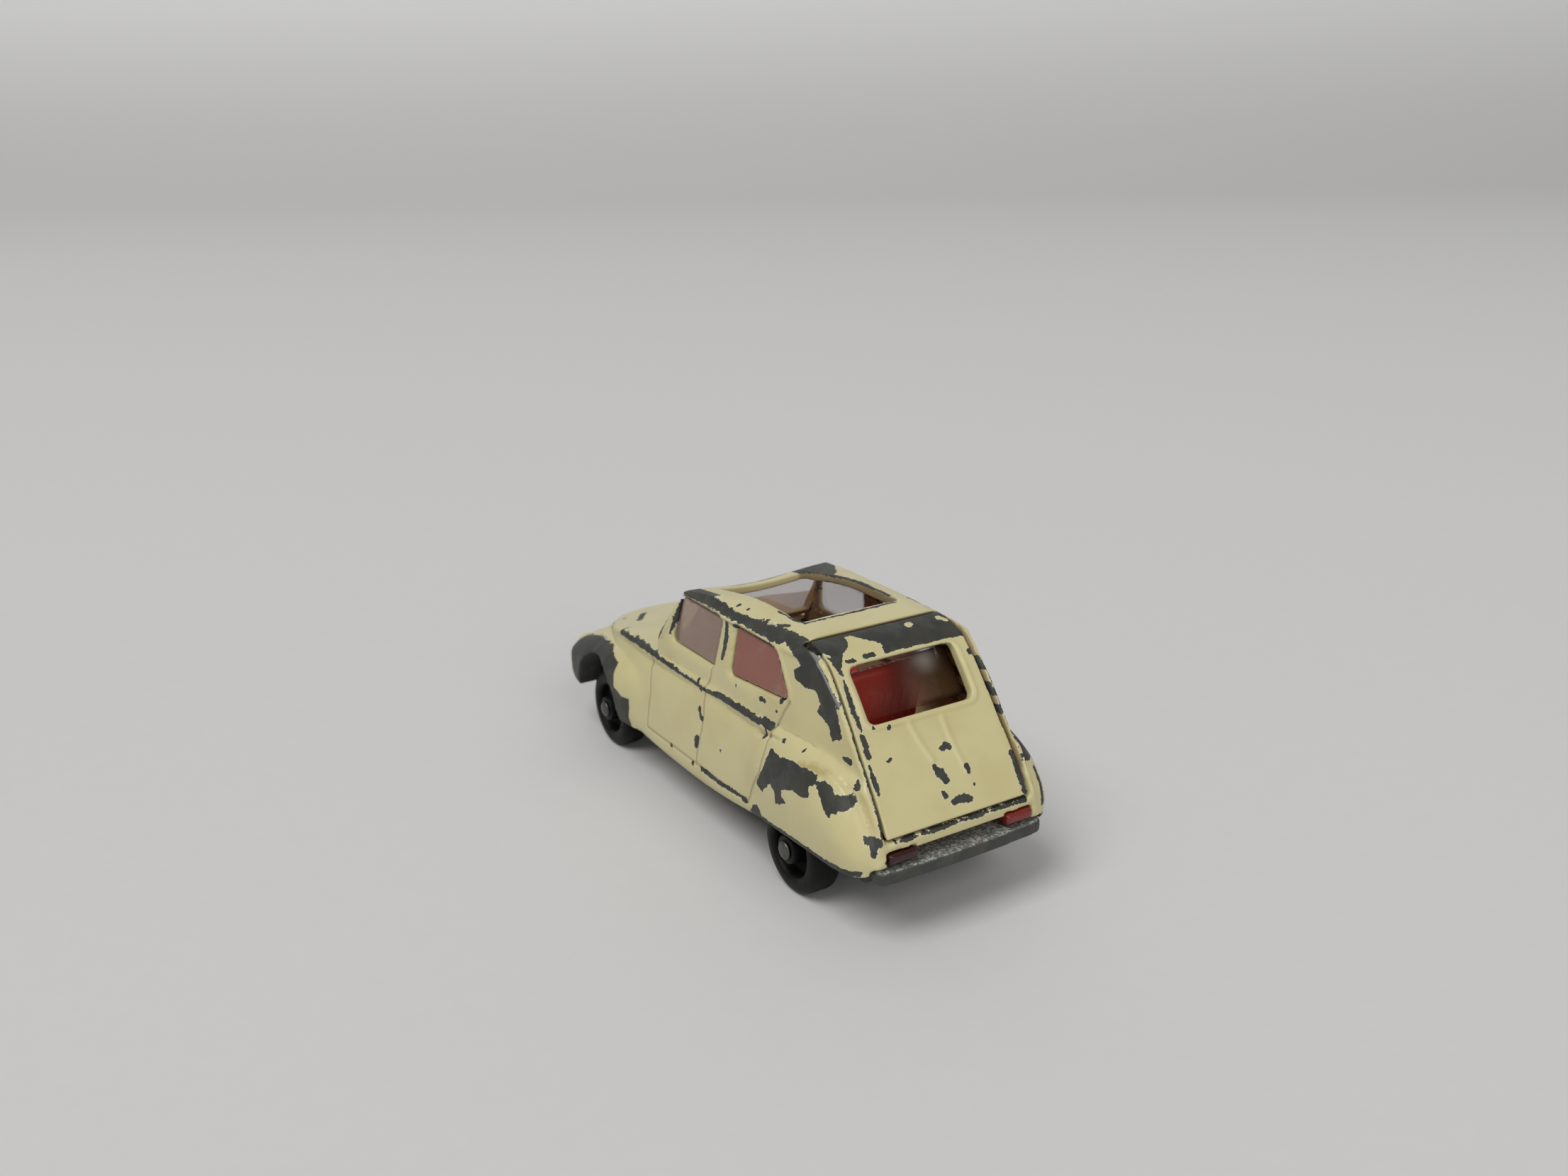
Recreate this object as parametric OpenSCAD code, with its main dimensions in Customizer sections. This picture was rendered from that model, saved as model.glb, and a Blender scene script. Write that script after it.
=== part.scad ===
// Small diecast saloon car with a hinged rear hatch and an open sunroof.
// The nose points along -Y, the car's left side along +X, and the wheels stand on z = 0.

/* [Overall] */
// Length over both bumpers
car_l = 64.4; // [64.3:0.1:64.7]
// Width over the rear fenders
car_w = 25.2; // [24.9:0.1:25.6]
// Height of the roof above the floor
roof_h = 25.4; // [25.3:0.05:25.8]
// Thickness of the cast walls
wall = 0.9; // [0.7:0.05:1.1]

/* [Running gear] */
// Distance between the axles
wheelbase = 40.5; // [40:0.1:41]
// Height of an axle, and radius of the tyres
wheel_r = 4.65; // [4.4:0.05:4.8]
// Width of a tyre
wheel_w = 3.1; // [2.6:0.1:3.3]
// Distance from the middle of the car to a tyre's outer face
wheel_x = 10.95; // [10.8:0.05:11]
// Diameter of the axle wire
axle_d = 1.1; // [0.9:0.05:1.3]
// Radial play of the wheels and axles in their bores
play = 0.05; // [0.02:0.01:0.09]

/* [Cabin] */
// Half width of the sunroof at its rear edge
sunroof_w = 5.76; // [4.5:0.02:6]
// Front edge of the sunroof
sunroof_front = -3.2; // [-4.2:0.1:0]
// Rear edge of the sunroof
sunroof_rear = 13.3; // [8:0.1:13.6]
// Corner radius of the side windows
window_r = 0.55; // [0.3:0.05:0.8]

/* [Rear hatch] */
// Half width of the hatch at its hinge
hatch_top_w = 7.55; // [7:0.05:7.6]
// Half width of the hatch at its lower edge
hatch_foot_w = 8.25; // [7.6:0.05:8.3]
// Gap between the hatch and the body
hatch_gap = 0.3; // [0.25:0.05:0.4]
// Thickness of the hatch
hatch_t = 1.0; // [0.8:0.05:1.2]

/* [Hidden] */
$fn = 48;

eps = 0.02;
// Outer edges of the two bumpers
rear_edge = 31.95;
front_edge = car_l - rear_edge;
half_w = car_w / 2;
paint = "#ece0b4";
zinc = "#6f7472";
red = "#8e1f1c";
black = "#1c1c1d";
steel = "#b4b6b8";
clear = "#d9cfc8a0";

// Axle places along the car
rear_axle_y = 18.55;
front_axle_y = rear_axle_y - wheelbase;
axle_z = wheel_r;

// Hinge of the hatch, just behind the roof's rear edge
hinge_y = 18.05;
hinge_z = roof_h - 1.75;
knuckle_r = 1.15;
// The hatch's front edge turns inside a hollow under the roof's lip
hatch_front = hinge_y - 0.65;
hollow_r = 1.51;
trunnion_r = 0.42;
trunnion_l = 0.58;
trunnion_end = 0.1;
roof_end = hinge_y - 0.9;
// Foot of the hatch, and the valance with the tail lamps below it
hatch_foot_y = 30.85;
hatch_foot_z = 10.3;
valance_top = 10.05;
valance_foot = 8.95;
lamp_x = 5.25;
lamp_w = 3.1;
lamp_z = 8.1;
lamp_h = 1;
lamp_gap = 0.14;

// Levels of the underbody
tray_z = 3.0;
tray_t = 0.8;
tray_w = 6.9;
tray_front = -28.5;
tray_rear = 25.6;
flange_z = 5.4;
flange_w = 9.2;
flange_front = -12.4;
flange_rear = 12;
floor_z = 6.4;
floor_gap = 0.2;
post_r = 1.1;
rivet_r = 1.75;
rivet_t = 0.4;
rivet_sink = 0.05;
base_gap = 0.2;
front_post_y = -14.4;
rear_post_y = 27.5;
tongue_top = 7.2;
bumper_top = 7.65;
bumper_h = 1.3;

// Ends of the lofted solids
nose_y = -32;
tail_y = 31.05;
tail_corner_z = 9.2;
loft_end = tail_y + 0.4;
fender_nose = -32.4;
fender_door = -10.2;
fender_start = 8;
fender_tail = 31.2;
front_fender_root = 5;
rear_fender_root = 6;
side_x = 5;
far = 40;

// Key points of the body's lines: place along the car, then the value there
roof_line = [[-4.6, roof_h - 1.35], [-2, roof_h - 1], [3, roof_h - 0.45], [9, roof_h],
    [13, roof_h - 0.05], [16.6, roof_h - 0.25], [19, roof_h - 0.6], [21, roof_h - 1.55],
    [22.8, roof_h - 3.4], [24.5, roof_h - 5.6], [26.5, roof_h - 8.4], [28.2, roof_h - 10.7],
    [29.8, roof_h - 13], [31, roof_h - 15]];
screen_foot = [-9.9, 17.4];
screen_slant = 0.9;
crease_w = [[-32, 5.4], [-30, 6.5], [-26, 8], [-22, 9.5], [-18, 10.2], [-10, 10.65], [2, 10.6],
    [15, 10.6], [22, 10.2], [27, 9.4], [31.3, 8.6]];
crease_z = [[-32, 10.9], [-30, 12], [-26, 13.4], [-22, 14.6], [-18, 15.1], [-10, 15.2], [2, 15.6],
    [15, 15.5], [22, 15.3], [27, 14.5], [31.3, 13.2]];
deck_z = [[-32, 12.1], [-30, 12.9], [-23, 14.5], [-10, 17], [0, 17.2], [20, 17.2], [31.3, 16.2]];
ridge_w = [[-32, 4], [-30, 5], [-22, 6.2], [-10, 7.2], [31.3, 7]];
sill_w = [[-32, 6.4], [-26, 8.6], [-18, 11], [-12, 11.75], [0, 11.8], [10, 11.75], [20, 11.4],
    [31.3, 9.2]];
sill_z = [[-32, 6.6], [-14, 5.4], [0, 5], [9, 5.5], [18, 6.5], [29, 7], [31.3, 7.4]];
cabin_taper = [[-10.5, 1], [0, 1], [10, 1], [16.6, 0.965], [20, 0.93], [24.2, 0.88], [27.3, 0.85],
    [31.3, 0.83]];
rear_fender_w = [[8, half_w - 1.45], [13, half_w - 0.85], [18.5, half_w - 0.5], [24, half_w - 0.45],
    [28, half_w - 0.65], [30, half_w - 1.4], [30.9, half_w - 2.35], [31.2, half_w - 3.25]];
rear_fender_top = [[8, 12.6], [13, 14.4], [18, 15.2], [24, 15], [27.5, 13.7], [29.5, 11.4],
    [30.7, 9.7], [31.2, 8.8]];
rear_fender_roll = [[8, 0.5], [13, 0.9], [18, 1.4], [24, 1.8], [28, 1.8], [31.2, 0.8]];
rear_fender_foot = [[8, 5.6], [18, 6.5], [24, 6.85], [30, 7.05], [31.2, 7.5]];
front_fender_w = [[-32.4, half_w - 3.05], [-32, half_w - 1.85], [-31, half_w - 0.85],
    [-28, half_w - 0.4], [-24, half_w], [-18, half_w], [-14, half_w - 0.45], [-10.2, half_w - 1.4]];
front_fender_top = [[-32.4, 9], [-32, 10.1], [-31, 11.3], [-28, 12.6], [-24, 13.3], [-20, 13.8],
    [-15, 14], [-10.2, 13.6]];
front_fender_foot = [[-32.4, 7], [-31, 6.3], [-29, 5.9], [-14, 5.4], [-10.2, 5.5]];

// Flute under the belt crease: where it starts and ends, and the length over which it fades
flute_front = -22;
flute_rear = 26;
flute_fade = 8;
flute_d = 0.3;
flute_h = 1.7;

// Half of the cabin's cross-section, from the belt to the middle of the roof
cabin_half = [[10.1, 13.5], [10.12, 16.4], [9.98, 18.4], [9.28, 22.9], [9.16, 23.3], [9.3, 23.5],
    [9.26, 23.8], [8.85, 24], [8.55, 24.4], [8.1, 24.75], [7.2, 25.05], [5.6, 25.25], [3, 25.36],
    [0, roof_h + 0.1]];
// Height above which the cabin's ceiling is inset, not its sides
gutter_z = 23.9;

// Side windows as corners in the side view, from front to rear
front_window = [[-6, 18.5], [-4.9, 22.8], [2.8, 22.8], [2.2, 18.5]];
rear_window = [[6.4, 18.7], [6.7, 22.8], [13.3, 22.8], [15.7, 19.4]];
// Frame pressed around a side window, on the leaning side of the cabin
frame_x = 9.78;
frame_z = 18.4;
frame_lean = 8.8;
frame_w = 0.45;
// Hatch window as half width, then its upper and lower edge as places along the slope
hatch_window_w = 6.05;
hatch_window_top = 21.55;
hatch_window_foot = 25;
hatch_window_r = 0.7;

// Smooth curve through key points
function stretch_at(keys, y, i = 0) =
    (i >= len(keys) - 2 || y <= keys[i + 1][0]) ? i : stretch_at(keys, y, i + 1);
function key_slope(keys, i) =
    let (a = keys[max(0, i - 1)], b = keys[min(len(keys) - 1, i + 1)]) (b[1] - a[1]) / (b[0] - a[0]);
function hermite(a, b, ma, mb, t) =
    a * (2 * t * t * t - 3 * t * t + 1) + ma * (t * t * t - 2 * t * t + t)
    + b * (3 * t * t - 2 * t * t * t) + mb * (t * t * t - t * t);
function along(keys, y) =
    let (i = stretch_at(keys, y), h = keys[i + 1][0] - keys[i][0],
        t = min(1, max(0, (y - keys[i][0]) / h)))
    hermite(keys[i][1], keys[i + 1][1], h * key_slope(keys, i), h * key_slope(keys, i + 1), t);
function mix(a, b, t) = a + (b - a) * t;
function steps(first, last, count) = [for (i = [0:count]) mix(first, last, i / count)];
// Both halves of a cross-section as one closed ring at a place along the car
function mirrored(half, y) = concat([for (p = half) [p[0], y, p[1]]],
    [for (i = [len(half) - 1:-1:0]) if (half[i][0] > eps) [-half[i][0], y, half[i][1]]]);

// Solid through a row of rings
module loft(rings) {
    n = len(rings[0]);
    last = len(rings) - 1;
    polyhedron(points = [for (r = rings) each r], faces = concat(
        [[for (i = [n - 1:-1:0]) i]],
        [for (j = [0:last - 1], i = [0:n - 1])
            [j * n + i, j * n + (i + 1) % n, (j + 1) * n + (i + 1) % n, (j + 1) * n + i]],
        [[for (i = [0:n - 1]) last * n + i]]), convexity = 8);
}

// Side view outline, extruded across the car
module across(outline, half_width) {
    rotate([90, 0, 90])
        linear_extrude(height = 2 * half_width, center = true)
            polygon(outline);
}

// Rounded opening through a side, given by its corners in the side view
module side_opening(corners, r, x_from, x_to, grow = 0) {
    hull()
        for (p = corners)
            translate([x_from, p[0], p[1]])
                rotate([0, 90, 0])
                    cylinder(r = r + grow, h = x_to - x_from, $fn = 24);
}

// Side view of roof, screen and tail, offset inwards by an inset
function roof_outline(inset) = concat(
    [[-far, -far], [-far, screen_foot[1] - inset],
        [screen_foot[0] + screen_slant * inset, screen_foot[1] - inset]],
    [for (y = steps(roof_line[0][0] + screen_slant * inset, 31 - inset, 36))
        [y, along(roof_line, y) - inset * roof_slant(y)]],
    [[tail_y - inset, tail_corner_z], [tail_y - inset, -far]]);
// Vertical depth of a wall under the sloping tail, for one unit of thickness
function roof_slant(y) =
    let (h = 0.3, s = (along(roof_line, y + h) - along(roof_line, y - h)) / (2 * h))
    sqrt(1 + s * s);

// Half cross-section of the lower body: sill, door, flute under the belt crease, bonnet or deck
function flute_at(y) =
    max(0, min(1, (y - flute_front) / flute_fade, (flute_rear - y) / flute_fade));
function lower_half(y) =
    let (xs = along(sill_w, y), zs = along(sill_z, y), xc = along(crease_w, y), zc = along(crease_z, y),
        xf = xc + 0.15, zf = zc - flute_h, xr = along(ridge_w, y), zr = along(deck_z, y))
    concat([[0, zs], [xs - 0.4, zs], [xs, zs + 0.7], [xs, zs + flute_h]],
        [for (t = [0.25, 0.5, 0.75])
            [mix(xs, xf, t * t * 0.6 + t * 0.4), mix(zs + flute_h, zf, t)]],
        [[xf, zf], [xc - flute_d * flute_at(y), zc - flute_h / 2], [xc, zc], [xc - 0.32, zc + 0.35],
            [xr, zr], [xr * 0.55, zr + 0.32], [0, zr + 0.4]]);

module lower_body() {
    loft([for (y = steps(nose_y, loft_end, 46)) mirrored(lower_half(y), y)]);
}

function cabin_ring(y, inset) = [for (p = cabin_half)
    [max(0, p[0] * along(cabin_taper, y) - inset), p[1] - (p[1] > gutter_z ? inset : 0)]];
module cabin(inset = 0) {
    loft([for (y = steps(screen_foot[0] + 0.3, loft_end, 30)) mirrored(cabin_ring(y, inset), y)]);
}

// Rear fender: swells from the rear door to the tail and rolls over to a soft shoulder
waist = 0.45;
function fender_bulge(u, roll) =
    u < waist ? 0.35 * pow(1 - u / waist, 2) : roll * pow((u - waist) / (1 - waist), 2.2);
function rear_fender_half(y, side) =
    let (xo = along(rear_fender_w, y), zf = along(rear_fender_foot, y), zt = along(rear_fender_top, y),
        roll = along(rear_fender_roll, y),
        outer = [for (u = steps(0, 1, 8)) [xo - fender_bulge(u, roll), mix(zf, zt, u)]])
    [for (p = concat([[rear_fender_root, zf]], outer, [[rear_fender_root, zt + 0.4]]))
        [side * p[0], y, p[1]]];

// Front fender: a long blister from the front door over the wheel to a round nose
function front_fender_half(y, side) =
    let (xo = along(front_fender_w, y), zf = along(front_fender_foot, y), zt = along(front_fender_top, y),
        zm = (zf + zt) / 2, r = front_fender_root,
        outer = [for (a = steps(0, 90, 9))
            [r + (xo - r) * pow(cos(a), 0.75), zm + (zt - zm) * pow(sin(a), 0.85)]])
    [for (p = concat([[r, zf], [xo - 0.3, zf], [xo - eps, mix(zf, zm, 0.3)]], outer))
        [side * p[0], y, p[1]]];

// Rings of the right side run the other way round
module fender(rings, side) {
    loft(side > 0 ? rings : [for (r = rings) [for (i = [len(r) - 1:-1:0]) r[i]]]);
}

module fenders() {
    for (side = [-1, 1]) {
        fender([for (y = steps(fender_start, fender_tail, 24)) rear_fender_half(y, side)], side);
        fender([for (y = steps(fender_nose, fender_door, 24)) front_fender_half(y, side)], side);
    }
}

// Everything that the casting is hollow for: cabin, boot and the space under the bonnet
function boot_ring(y) =
    let (x = along(crease_w, y) - 1.1, z = along(crease_z, y))
    [[0, 0], [x, 0], [x, z - 0.4], [x - 1.2, z + 0.9], [0, z + 0.9]];
function bonnet_ring(y) =
    let (x = along(ridge_w, y), z = along(deck_z, y))
    [[0, 0], [x + 0.4, 0], [x + 0.2, z - 1.4], [0, z - wall]];
module body_hollow() {
    intersection() {
        union() {
            cabin(wall);
            loft([for (y = steps(-8.6, loft_end, 14)) mirrored(boot_ring(y), y)]);
        }
        across(roof_outline(wall), half_w);
    }
    loft([for (y = steps(-30.6, -13, 8)) mirrored(bonnet_ring(y), y)]);
}

// Front wheels show in wide open arches, rear wheels hide behind the skirts of the fenders
module wheel_arches() {
    arch_z = 4.4;
    arch_h = 7.2;
    arch_l = 5.9;
    arch_shift = 0.3;
    arch_x = wheel_x - wheel_w - 0.6;
    for (side = [0, 1]) mirror([side, 0, 0]) {
        translate([arch_x, front_axle_y - arch_shift, arch_z])
            rotate([0, 90, 0])
                scale([arch_h / arch_l, 1, 1])
                    cylinder(r = arch_l, h = half_w, $fn = 64);
        translate([arch_x, rear_axle_y, axle_z])
            rotate([0, 90, 0])
                cylinder(r = wheel_r + 0.8, h = wheel_x + 0.4 - arch_x);
    }
}

function hatch_half_w(y, grow) =
    mix(hatch_top_w, hatch_foot_w, (y - hinge_y) / (hatch_foot_y - hinge_y)) + grow;
// Plan of the hatch, or of its hole when it grows by the gap
module hatch_plan(grow, y_from, y_to) {
    translate([0, 0, 1])
        linear_extrude(height = roof_h + 4)
            polygon([[-hatch_half_w(y_from, grow), y_from], [hatch_half_w(y_from, grow), y_from],
                [hatch_half_w(y_to, grow), y_to], [-hatch_half_w(y_to, grow), y_to]]);
}

// Side window with the shallow frame around it
module window_cut(corners) {
    side_opening(corners, window_r, side_x, half_w);
    translate([frame_x, 0, frame_z])
        rotate([0, -frame_lean, 0])
            translate([0, 0, -frame_z])
                side_opening(corners, window_r, 0, 3, frame_w);
}

module body_openings() {
    corner_r = 0.5;
    sunroof_taper = 0.92;
    screen_corners = [[-9.3, 17.8, 8.6], [-5.6, 23, 7.9]];
    hollow_w = hatch_top_w + hatch_gap + 0.2;
    tongue_room = 8.35;
    bumper_room = 9.95;
    nose_room = 9.2;
    nose_room_top = 7.4;
    apron_room = -30.1;
    mouth_w = 5.2;
    mouth_foot = 7.75;
    mouth_top = 10;
    for (side = [0, 1]) mirror([side, 0, 0]) {
        window_cut(front_window);
        window_cut(rear_window);
        // Bearing notch of a hatch trunnion, open to the inside of the car
        translate([hatch_top_w - 1, hinge_y, hinge_z])
            rotate([0, 90, 0])
                cylinder(r = trunnion_r + play, h = 1 + trunnion_l + trunnion_end);
        // Hole for a tail lamp beside the valance
        translate([lamp_x - lamp_gap, tail_y - 2, lamp_z - lamp_gap])
            cube([lamp_w + 2 * lamp_gap, 3, lamp_h + 2 * lamp_gap]);
    }
    // Sunroof
    hull()
        for (x = [-1, 1], e = [[sunroof_front, sunroof_taper, 1], [sunroof_rear, 1, -1]])
            translate([x * (sunroof_w * e[1] - corner_r), e[0] + e[2] * corner_r, roof_h - 4])
                cylinder(r = corner_r, h = 6, $fn = 24);
    // Windscreen
    hull()
        for (x = [-1, 1], e = screen_corners)
            translate([x * e[2], e[0] - 3, e[1]])
                rotate([-90, 0, 0])
                    cylinder(r = corner_r, h = 5, $fn = 24);
    // Hatch hole, from the roof's edge to the valance
    difference() {
        hatch_plan(hatch_gap, roof_end, tail_y + 0.5);
        translate([-half_w, 0, 0])
            cube([car_w, far, valance_top]);
    }
    // Hollow under the roof's lip
    translate([-hollow_w, hinge_y, hinge_z])
        rotate([0, 90, 0])
            cylinder(r = hollow_r, h = 2 * hollow_w);
    // Room for the base: tray, flange, rear tongue, and both bumpers with their ends
    translate([-tray_w - base_gap, apron_room, 0])
        cube([2 * (tray_w + base_gap), tray_rear - apron_room + base_gap, floor_z]);
    translate([-flange_w - base_gap, flange_front - base_gap, 0])
        cube([2 * (flange_w + base_gap), flange_rear - flange_front + 2 * base_gap, floor_z + eps]);
    translate([-tongue_room, tray_rear + 0.4, 0])
        cube([2 * tongue_room, far, valance_foot]);
    translate([-bumper_room, tail_y - 2.1, 0])
        cube([2 * bumper_room, far, bumper_top + base_gap]);
    translate([-nose_room, -far, 0])
        cube([2 * nose_room, far + apron_room + 0.4, nose_room_top]);
    // Mouth of the grille
    hull()
        for (x = [-mouth_w, mouth_w], z = [mouth_foot, mouth_top])
            translate([x, -front_edge - 3.5, z])
                rotate([-90, 0, 0])
                    cylinder(r = corner_r, h = 8, $fn = 24);
}

// Posts cast inside the body; their ends are spun over under the base plate
module rivet_posts() {
    bridge_z = tongue_top + 0.05;
    bridge_t = 0.75;
    front_end = tray_z + rivet_sink + rivet_t;
    rear_end = floor_z - 0.1;
    for (p = [[front_post_y, front_end, 16], [rear_post_y, rear_end, bridge_z + bridge_t]]) {
        translate([0, p[0], p[1] - eps])
            cylinder(r = post_r, h = p[2] - p[1]);
        translate([0, p[0], p[1] - rivet_t])
            cylinder(r1 = rivet_r * 0.75, r2 = rivet_r, h = rivet_t);
    }
    // Bridge that carries the rear post between the fenders
    translate([-10, rear_post_y - 1.2, bridge_z])
        cube([20, 2.4, bridge_t]);
}

// Headlamps cast in the fender noses, each a disc with a shallow dish
module headlamps() {
    lamp_r = 1.55;
    dish_r = 1.25;
    dish_d = 0.15;
    for (side = [0, 1]) mirror([side, 0, 0])
        translate([8.75, -front_edge, 9.15])
            rotate([-90, 0, 0])
                difference() {
                    cylinder(r = lamp_r, h = 1.9, $fn = 32);
                    translate([0, 0, -eps])
                        cylinder(r = dish_r, h = dish_d + eps, $fn = 32);
                }
}

module body_shell() {
    color(paint) {
        difference() {
            union() {
                intersection() {
                    union() {
                        lower_body();
                        cabin();
                    }
                    across(roof_outline(0), half_w);
                }
                fenders();
            }
            body_hollow();
            wheel_arches();
            body_openings();
        }
        rivet_posts();
        headlamps();
    }
}

// Hatch surface: a little below the body's pillars, then its thickness inwards
hatch_sink = 0.15;
hatch_lean = 58;
function hatch_line(y, depth) = [y, along(roof_line, y) - (hatch_sink + depth) * roof_slant(y)];
function hatch_outline() = let (ys = steps(hatch_front, hatch_foot_y, 27)) concat(
    [for (y = ys) hatch_line(y, 0)],
    [[hatch_foot_y - 0.25, hatch_foot_z]],
    [for (i = [len(ys) - 1:-1:0]) let (p = hatch_line(ys[i], hatch_t)) if (p[1] > hatch_foot_z) p]);

module rear_hatch() {
    color(paint) {
        difference() {
            union() {
                intersection() {
                    across(hatch_outline(), half_w);
                    hatch_plan(0, hatch_front - 0.5, hatch_foot_y + 0.1);
                }
                translate([-hatch_top_w, hinge_y, hinge_z])
                    rotate([0, 90, 0])
                        cylinder(r = knuckle_r, h = 2 * hatch_top_w);
            }
            // Window
            hull()
                for (x = [-1, 1], y = [hatch_window_top, hatch_window_foot])
                    translate(concat(x * (hatch_window_w - hatch_window_r),
                            hatch_line(y > hatch_window_top ? y - 0.35 : y + 0.35, 0)))
                        rotate([-hatch_lean, 0, 0])
                            cylinder(r = hatch_window_r, h = 5, center = true, $fn = 32);
        }
        for (side = [0, 1]) mirror([side, 0, 0])
            translate([hatch_top_w - eps, hinge_y, hinge_z])
                rotate([0, 90, 0])
                    cylinder(r = trunnion_r, h = trunnion_l);
    }
}

// Bumper bar bowed in plan, with half-round ends
module bumper(edge, reach, depth, bow, z, h) {
    bow_r = (reach * reach + bow * bow) / (2 * bow);
    end_r = depth / 2;
    translate([0, 0, z])
        intersection() {
            difference() {
                translate([0, edge - bow_r, 0])
                    cylinder(r = bow_r, h = h, $fn = 128);
                translate([0, edge - bow_r, -1])
                    cylinder(r = bow_r - depth, h = h + 2, $fn = 128);
            }
            translate([-reach, edge - bow - depth, 0])
                cube([2 * reach, bow + depth + 1, h]);
        }
    for (side = [-1, 1])
        translate([side * (reach - 0.05), edge - bow - end_r, z])
            cylinder(r = end_r - 0.05, h = h);
}

module base_plate() {
    tray_wall = 0.9;
    tray_top = floor_z - floor_gap;
    tongue_w = 8.1;
    tongue_z = floor_z - 0.1;
    apron_y = -31.2;
    apron_z = 5.3;
    grille_w = 4.6;
    color(zinc)
        difference() {
            union() {
                // Tray with the axles through its side walls
                translate([-tray_w, tray_front, tray_z])
                    cube([2 * tray_w, tray_rear - tray_front, tray_top - tray_z]);
                // Flange inside the sills
                translate([-flange_w, flange_front, flange_z])
                    cube([2 * flange_w, flange_rear - flange_front, tray_top - flange_z]);
                // Tongue, the ledge under the valance and the bowed rear bumper
                translate([-tray_w, tray_rear - tray_wall, tray_z])
                    cube([2 * tray_w, tray_wall, tongue_top - tray_z]);
                translate([-tongue_w + 0.5, tray_rear - tray_wall, tongue_z])
                    cube([2 * tongue_w - 1, 5.9, tongue_top - tongue_z]);
                translate([-tongue_w, 28.9, tongue_z])
                    cube([2 * tongue_w, 2.4, bumper_top - tongue_z]);
                bumper(rear_edge, 8.8, 1.9, 0.3, bumper_top - bumper_h, bumper_h);
                // Front apron, bumper and grille bars
                translate([-tray_w, apron_y, apron_z])
                    cube([2 * tray_w, 3.2, 0.9]);
                mirror([0, 1, 0])
                    bumper(front_edge, 8.3, 1.5, 0.9, apron_z, 1.9);
                translate([-grille_w, apron_y, apron_z + 0.7])
                    cube([2 * grille_w, 0.9, 4]);
                for (i = [0:3])
                    translate([-grille_w - 0.2, apron_y - 0.35, 8.2 + 0.5 * i])
                        cube([2 * grille_w + 0.4, 0.5, 0.24]);
            }
            // Hollow of the tray
            translate([-tray_w + tray_wall, tray_front + tray_wall, tray_z + tray_t])
                cube([2 * (tray_w - tray_wall), tray_rear - tray_front - 2 * tray_wall, 10]);
            // Axle bores
            for (y = [front_axle_y, rear_axle_y])
                translate([-half_w, y, axle_z])
                    rotate([0, 90, 0])
                        cylinder(r = axle_d / 2 + play, h = car_w);
            // Rivet holes, the front one sunk so that its rivet stays above the underside
            for (y = [front_post_y, rear_post_y])
                translate([0, y, 0])
                    cylinder(r = post_r + play, h = 10);
            translate([0, front_post_y, 0])
                cylinder(r = rivet_r + 2 * play, h = tray_z + rivet_sink + rivet_t + play);
        }
}

// One seat: cushion and leaning back with a round top
module seat(x, y, w, back_h) {
    cushion_l = 5.6;
    cushion_h = 2.6;
    back_t = 1.5;
    back_w = w - 0.3;
    lean = 14;
    translate([x, y, floor_z + 0.75]) {
        translate([-w / 2, -cushion_l / 2, 0])
            cube([w, cushion_l, cushion_h]);
        translate([0, cushion_l / 2 - 1, cushion_h - 0.4])
            rotate([-lean, 0, 0]) {
                translate([-back_w / 2, 0, 0])
                    cube([back_w, back_t, back_h]);
                translate([-back_w / 2, back_t / 2, back_h])
                    rotate([0, 90, 0])
                        cylinder(r = back_t / 2, h = back_w);
            }
    }
}

module interior_tub() {
    floor_t = 0.8;
    front_y = -8.4;
    floor_rear = 12;
    boot_y = 11.8;
    boot_w = 6.3;
    boot_rear = 24.4;
    dash_h = 8.6;
    arm_y = 23.2;
    arm_w = 2.3;
    head_y = 29.3;
    lamp_y = tail_y + 0.4;
    steering = [4.2, front_y + 1.5, 12.4];
    steering_lean = -62;
    color(red) {
        translate([-9, front_y, floor_z])
            cube([18, floor_rear - front_y, floor_t]);
        translate([-boot_w, boot_y, floor_z])
            cube([2 * boot_w, boot_rear - boot_y, floor_t]);
        // Dashboard
        translate([-8.2, front_y, floor_z])
            cube([16.4, 1.6, dash_h]);
        // Front seats and rear bench
        for (x = [-4.2, 4.2])
            seat(x, 0.4, 6.2, 5);
        seat(0, 11.2, 13.2, 10.6);
        // Steering column and wheel
        translate(steering)
            rotate([steering_lean, 0, 0]) {
                cylinder(r = 0.5, h = 2.6);
                translate([0, 0, 2.5])
                    cylinder(r = 2.4, h = 0.6);
            }
        // Boot step, and the two arms that end as tail lamps
        translate([-boot_w, boot_rear - 2.8, floor_z + floor_t - eps])
            cube([2 * boot_w, 2.8, 2]);
        for (side = [0, 1]) mirror([side, 0, 0])
            translate([lamp_x, 0, lamp_z]) {
                translate([0, arm_y, 0])
                    cube([arm_w, head_y - arm_y + 0.3, lamp_h - 0.05]);
                translate([0, head_y, 0])
                    cube([lamp_w, lamp_y - head_y, lamp_h]);
            }
    }
}

// A flat pane through four corners
module pane(corners, t) {
    hull()
        for (p = corners)
            translate(p)
                cube(t, center = true);
}

// Raised part of a side pane that fills its window almost flush
module window_plug(corners) {
    plug_gap = 0.12;
    plug_sink = 0.15;
    difference() {
        side_opening(corners, window_r, 8.2, half_w, -plug_gap);
        translate([frame_x - plug_sink, -far / 2, frame_z])
            rotate([0, -frame_lean, 0])
                translate([0, 0, -far / 2])
                    cube([far, far, far]);
    }
}

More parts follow.
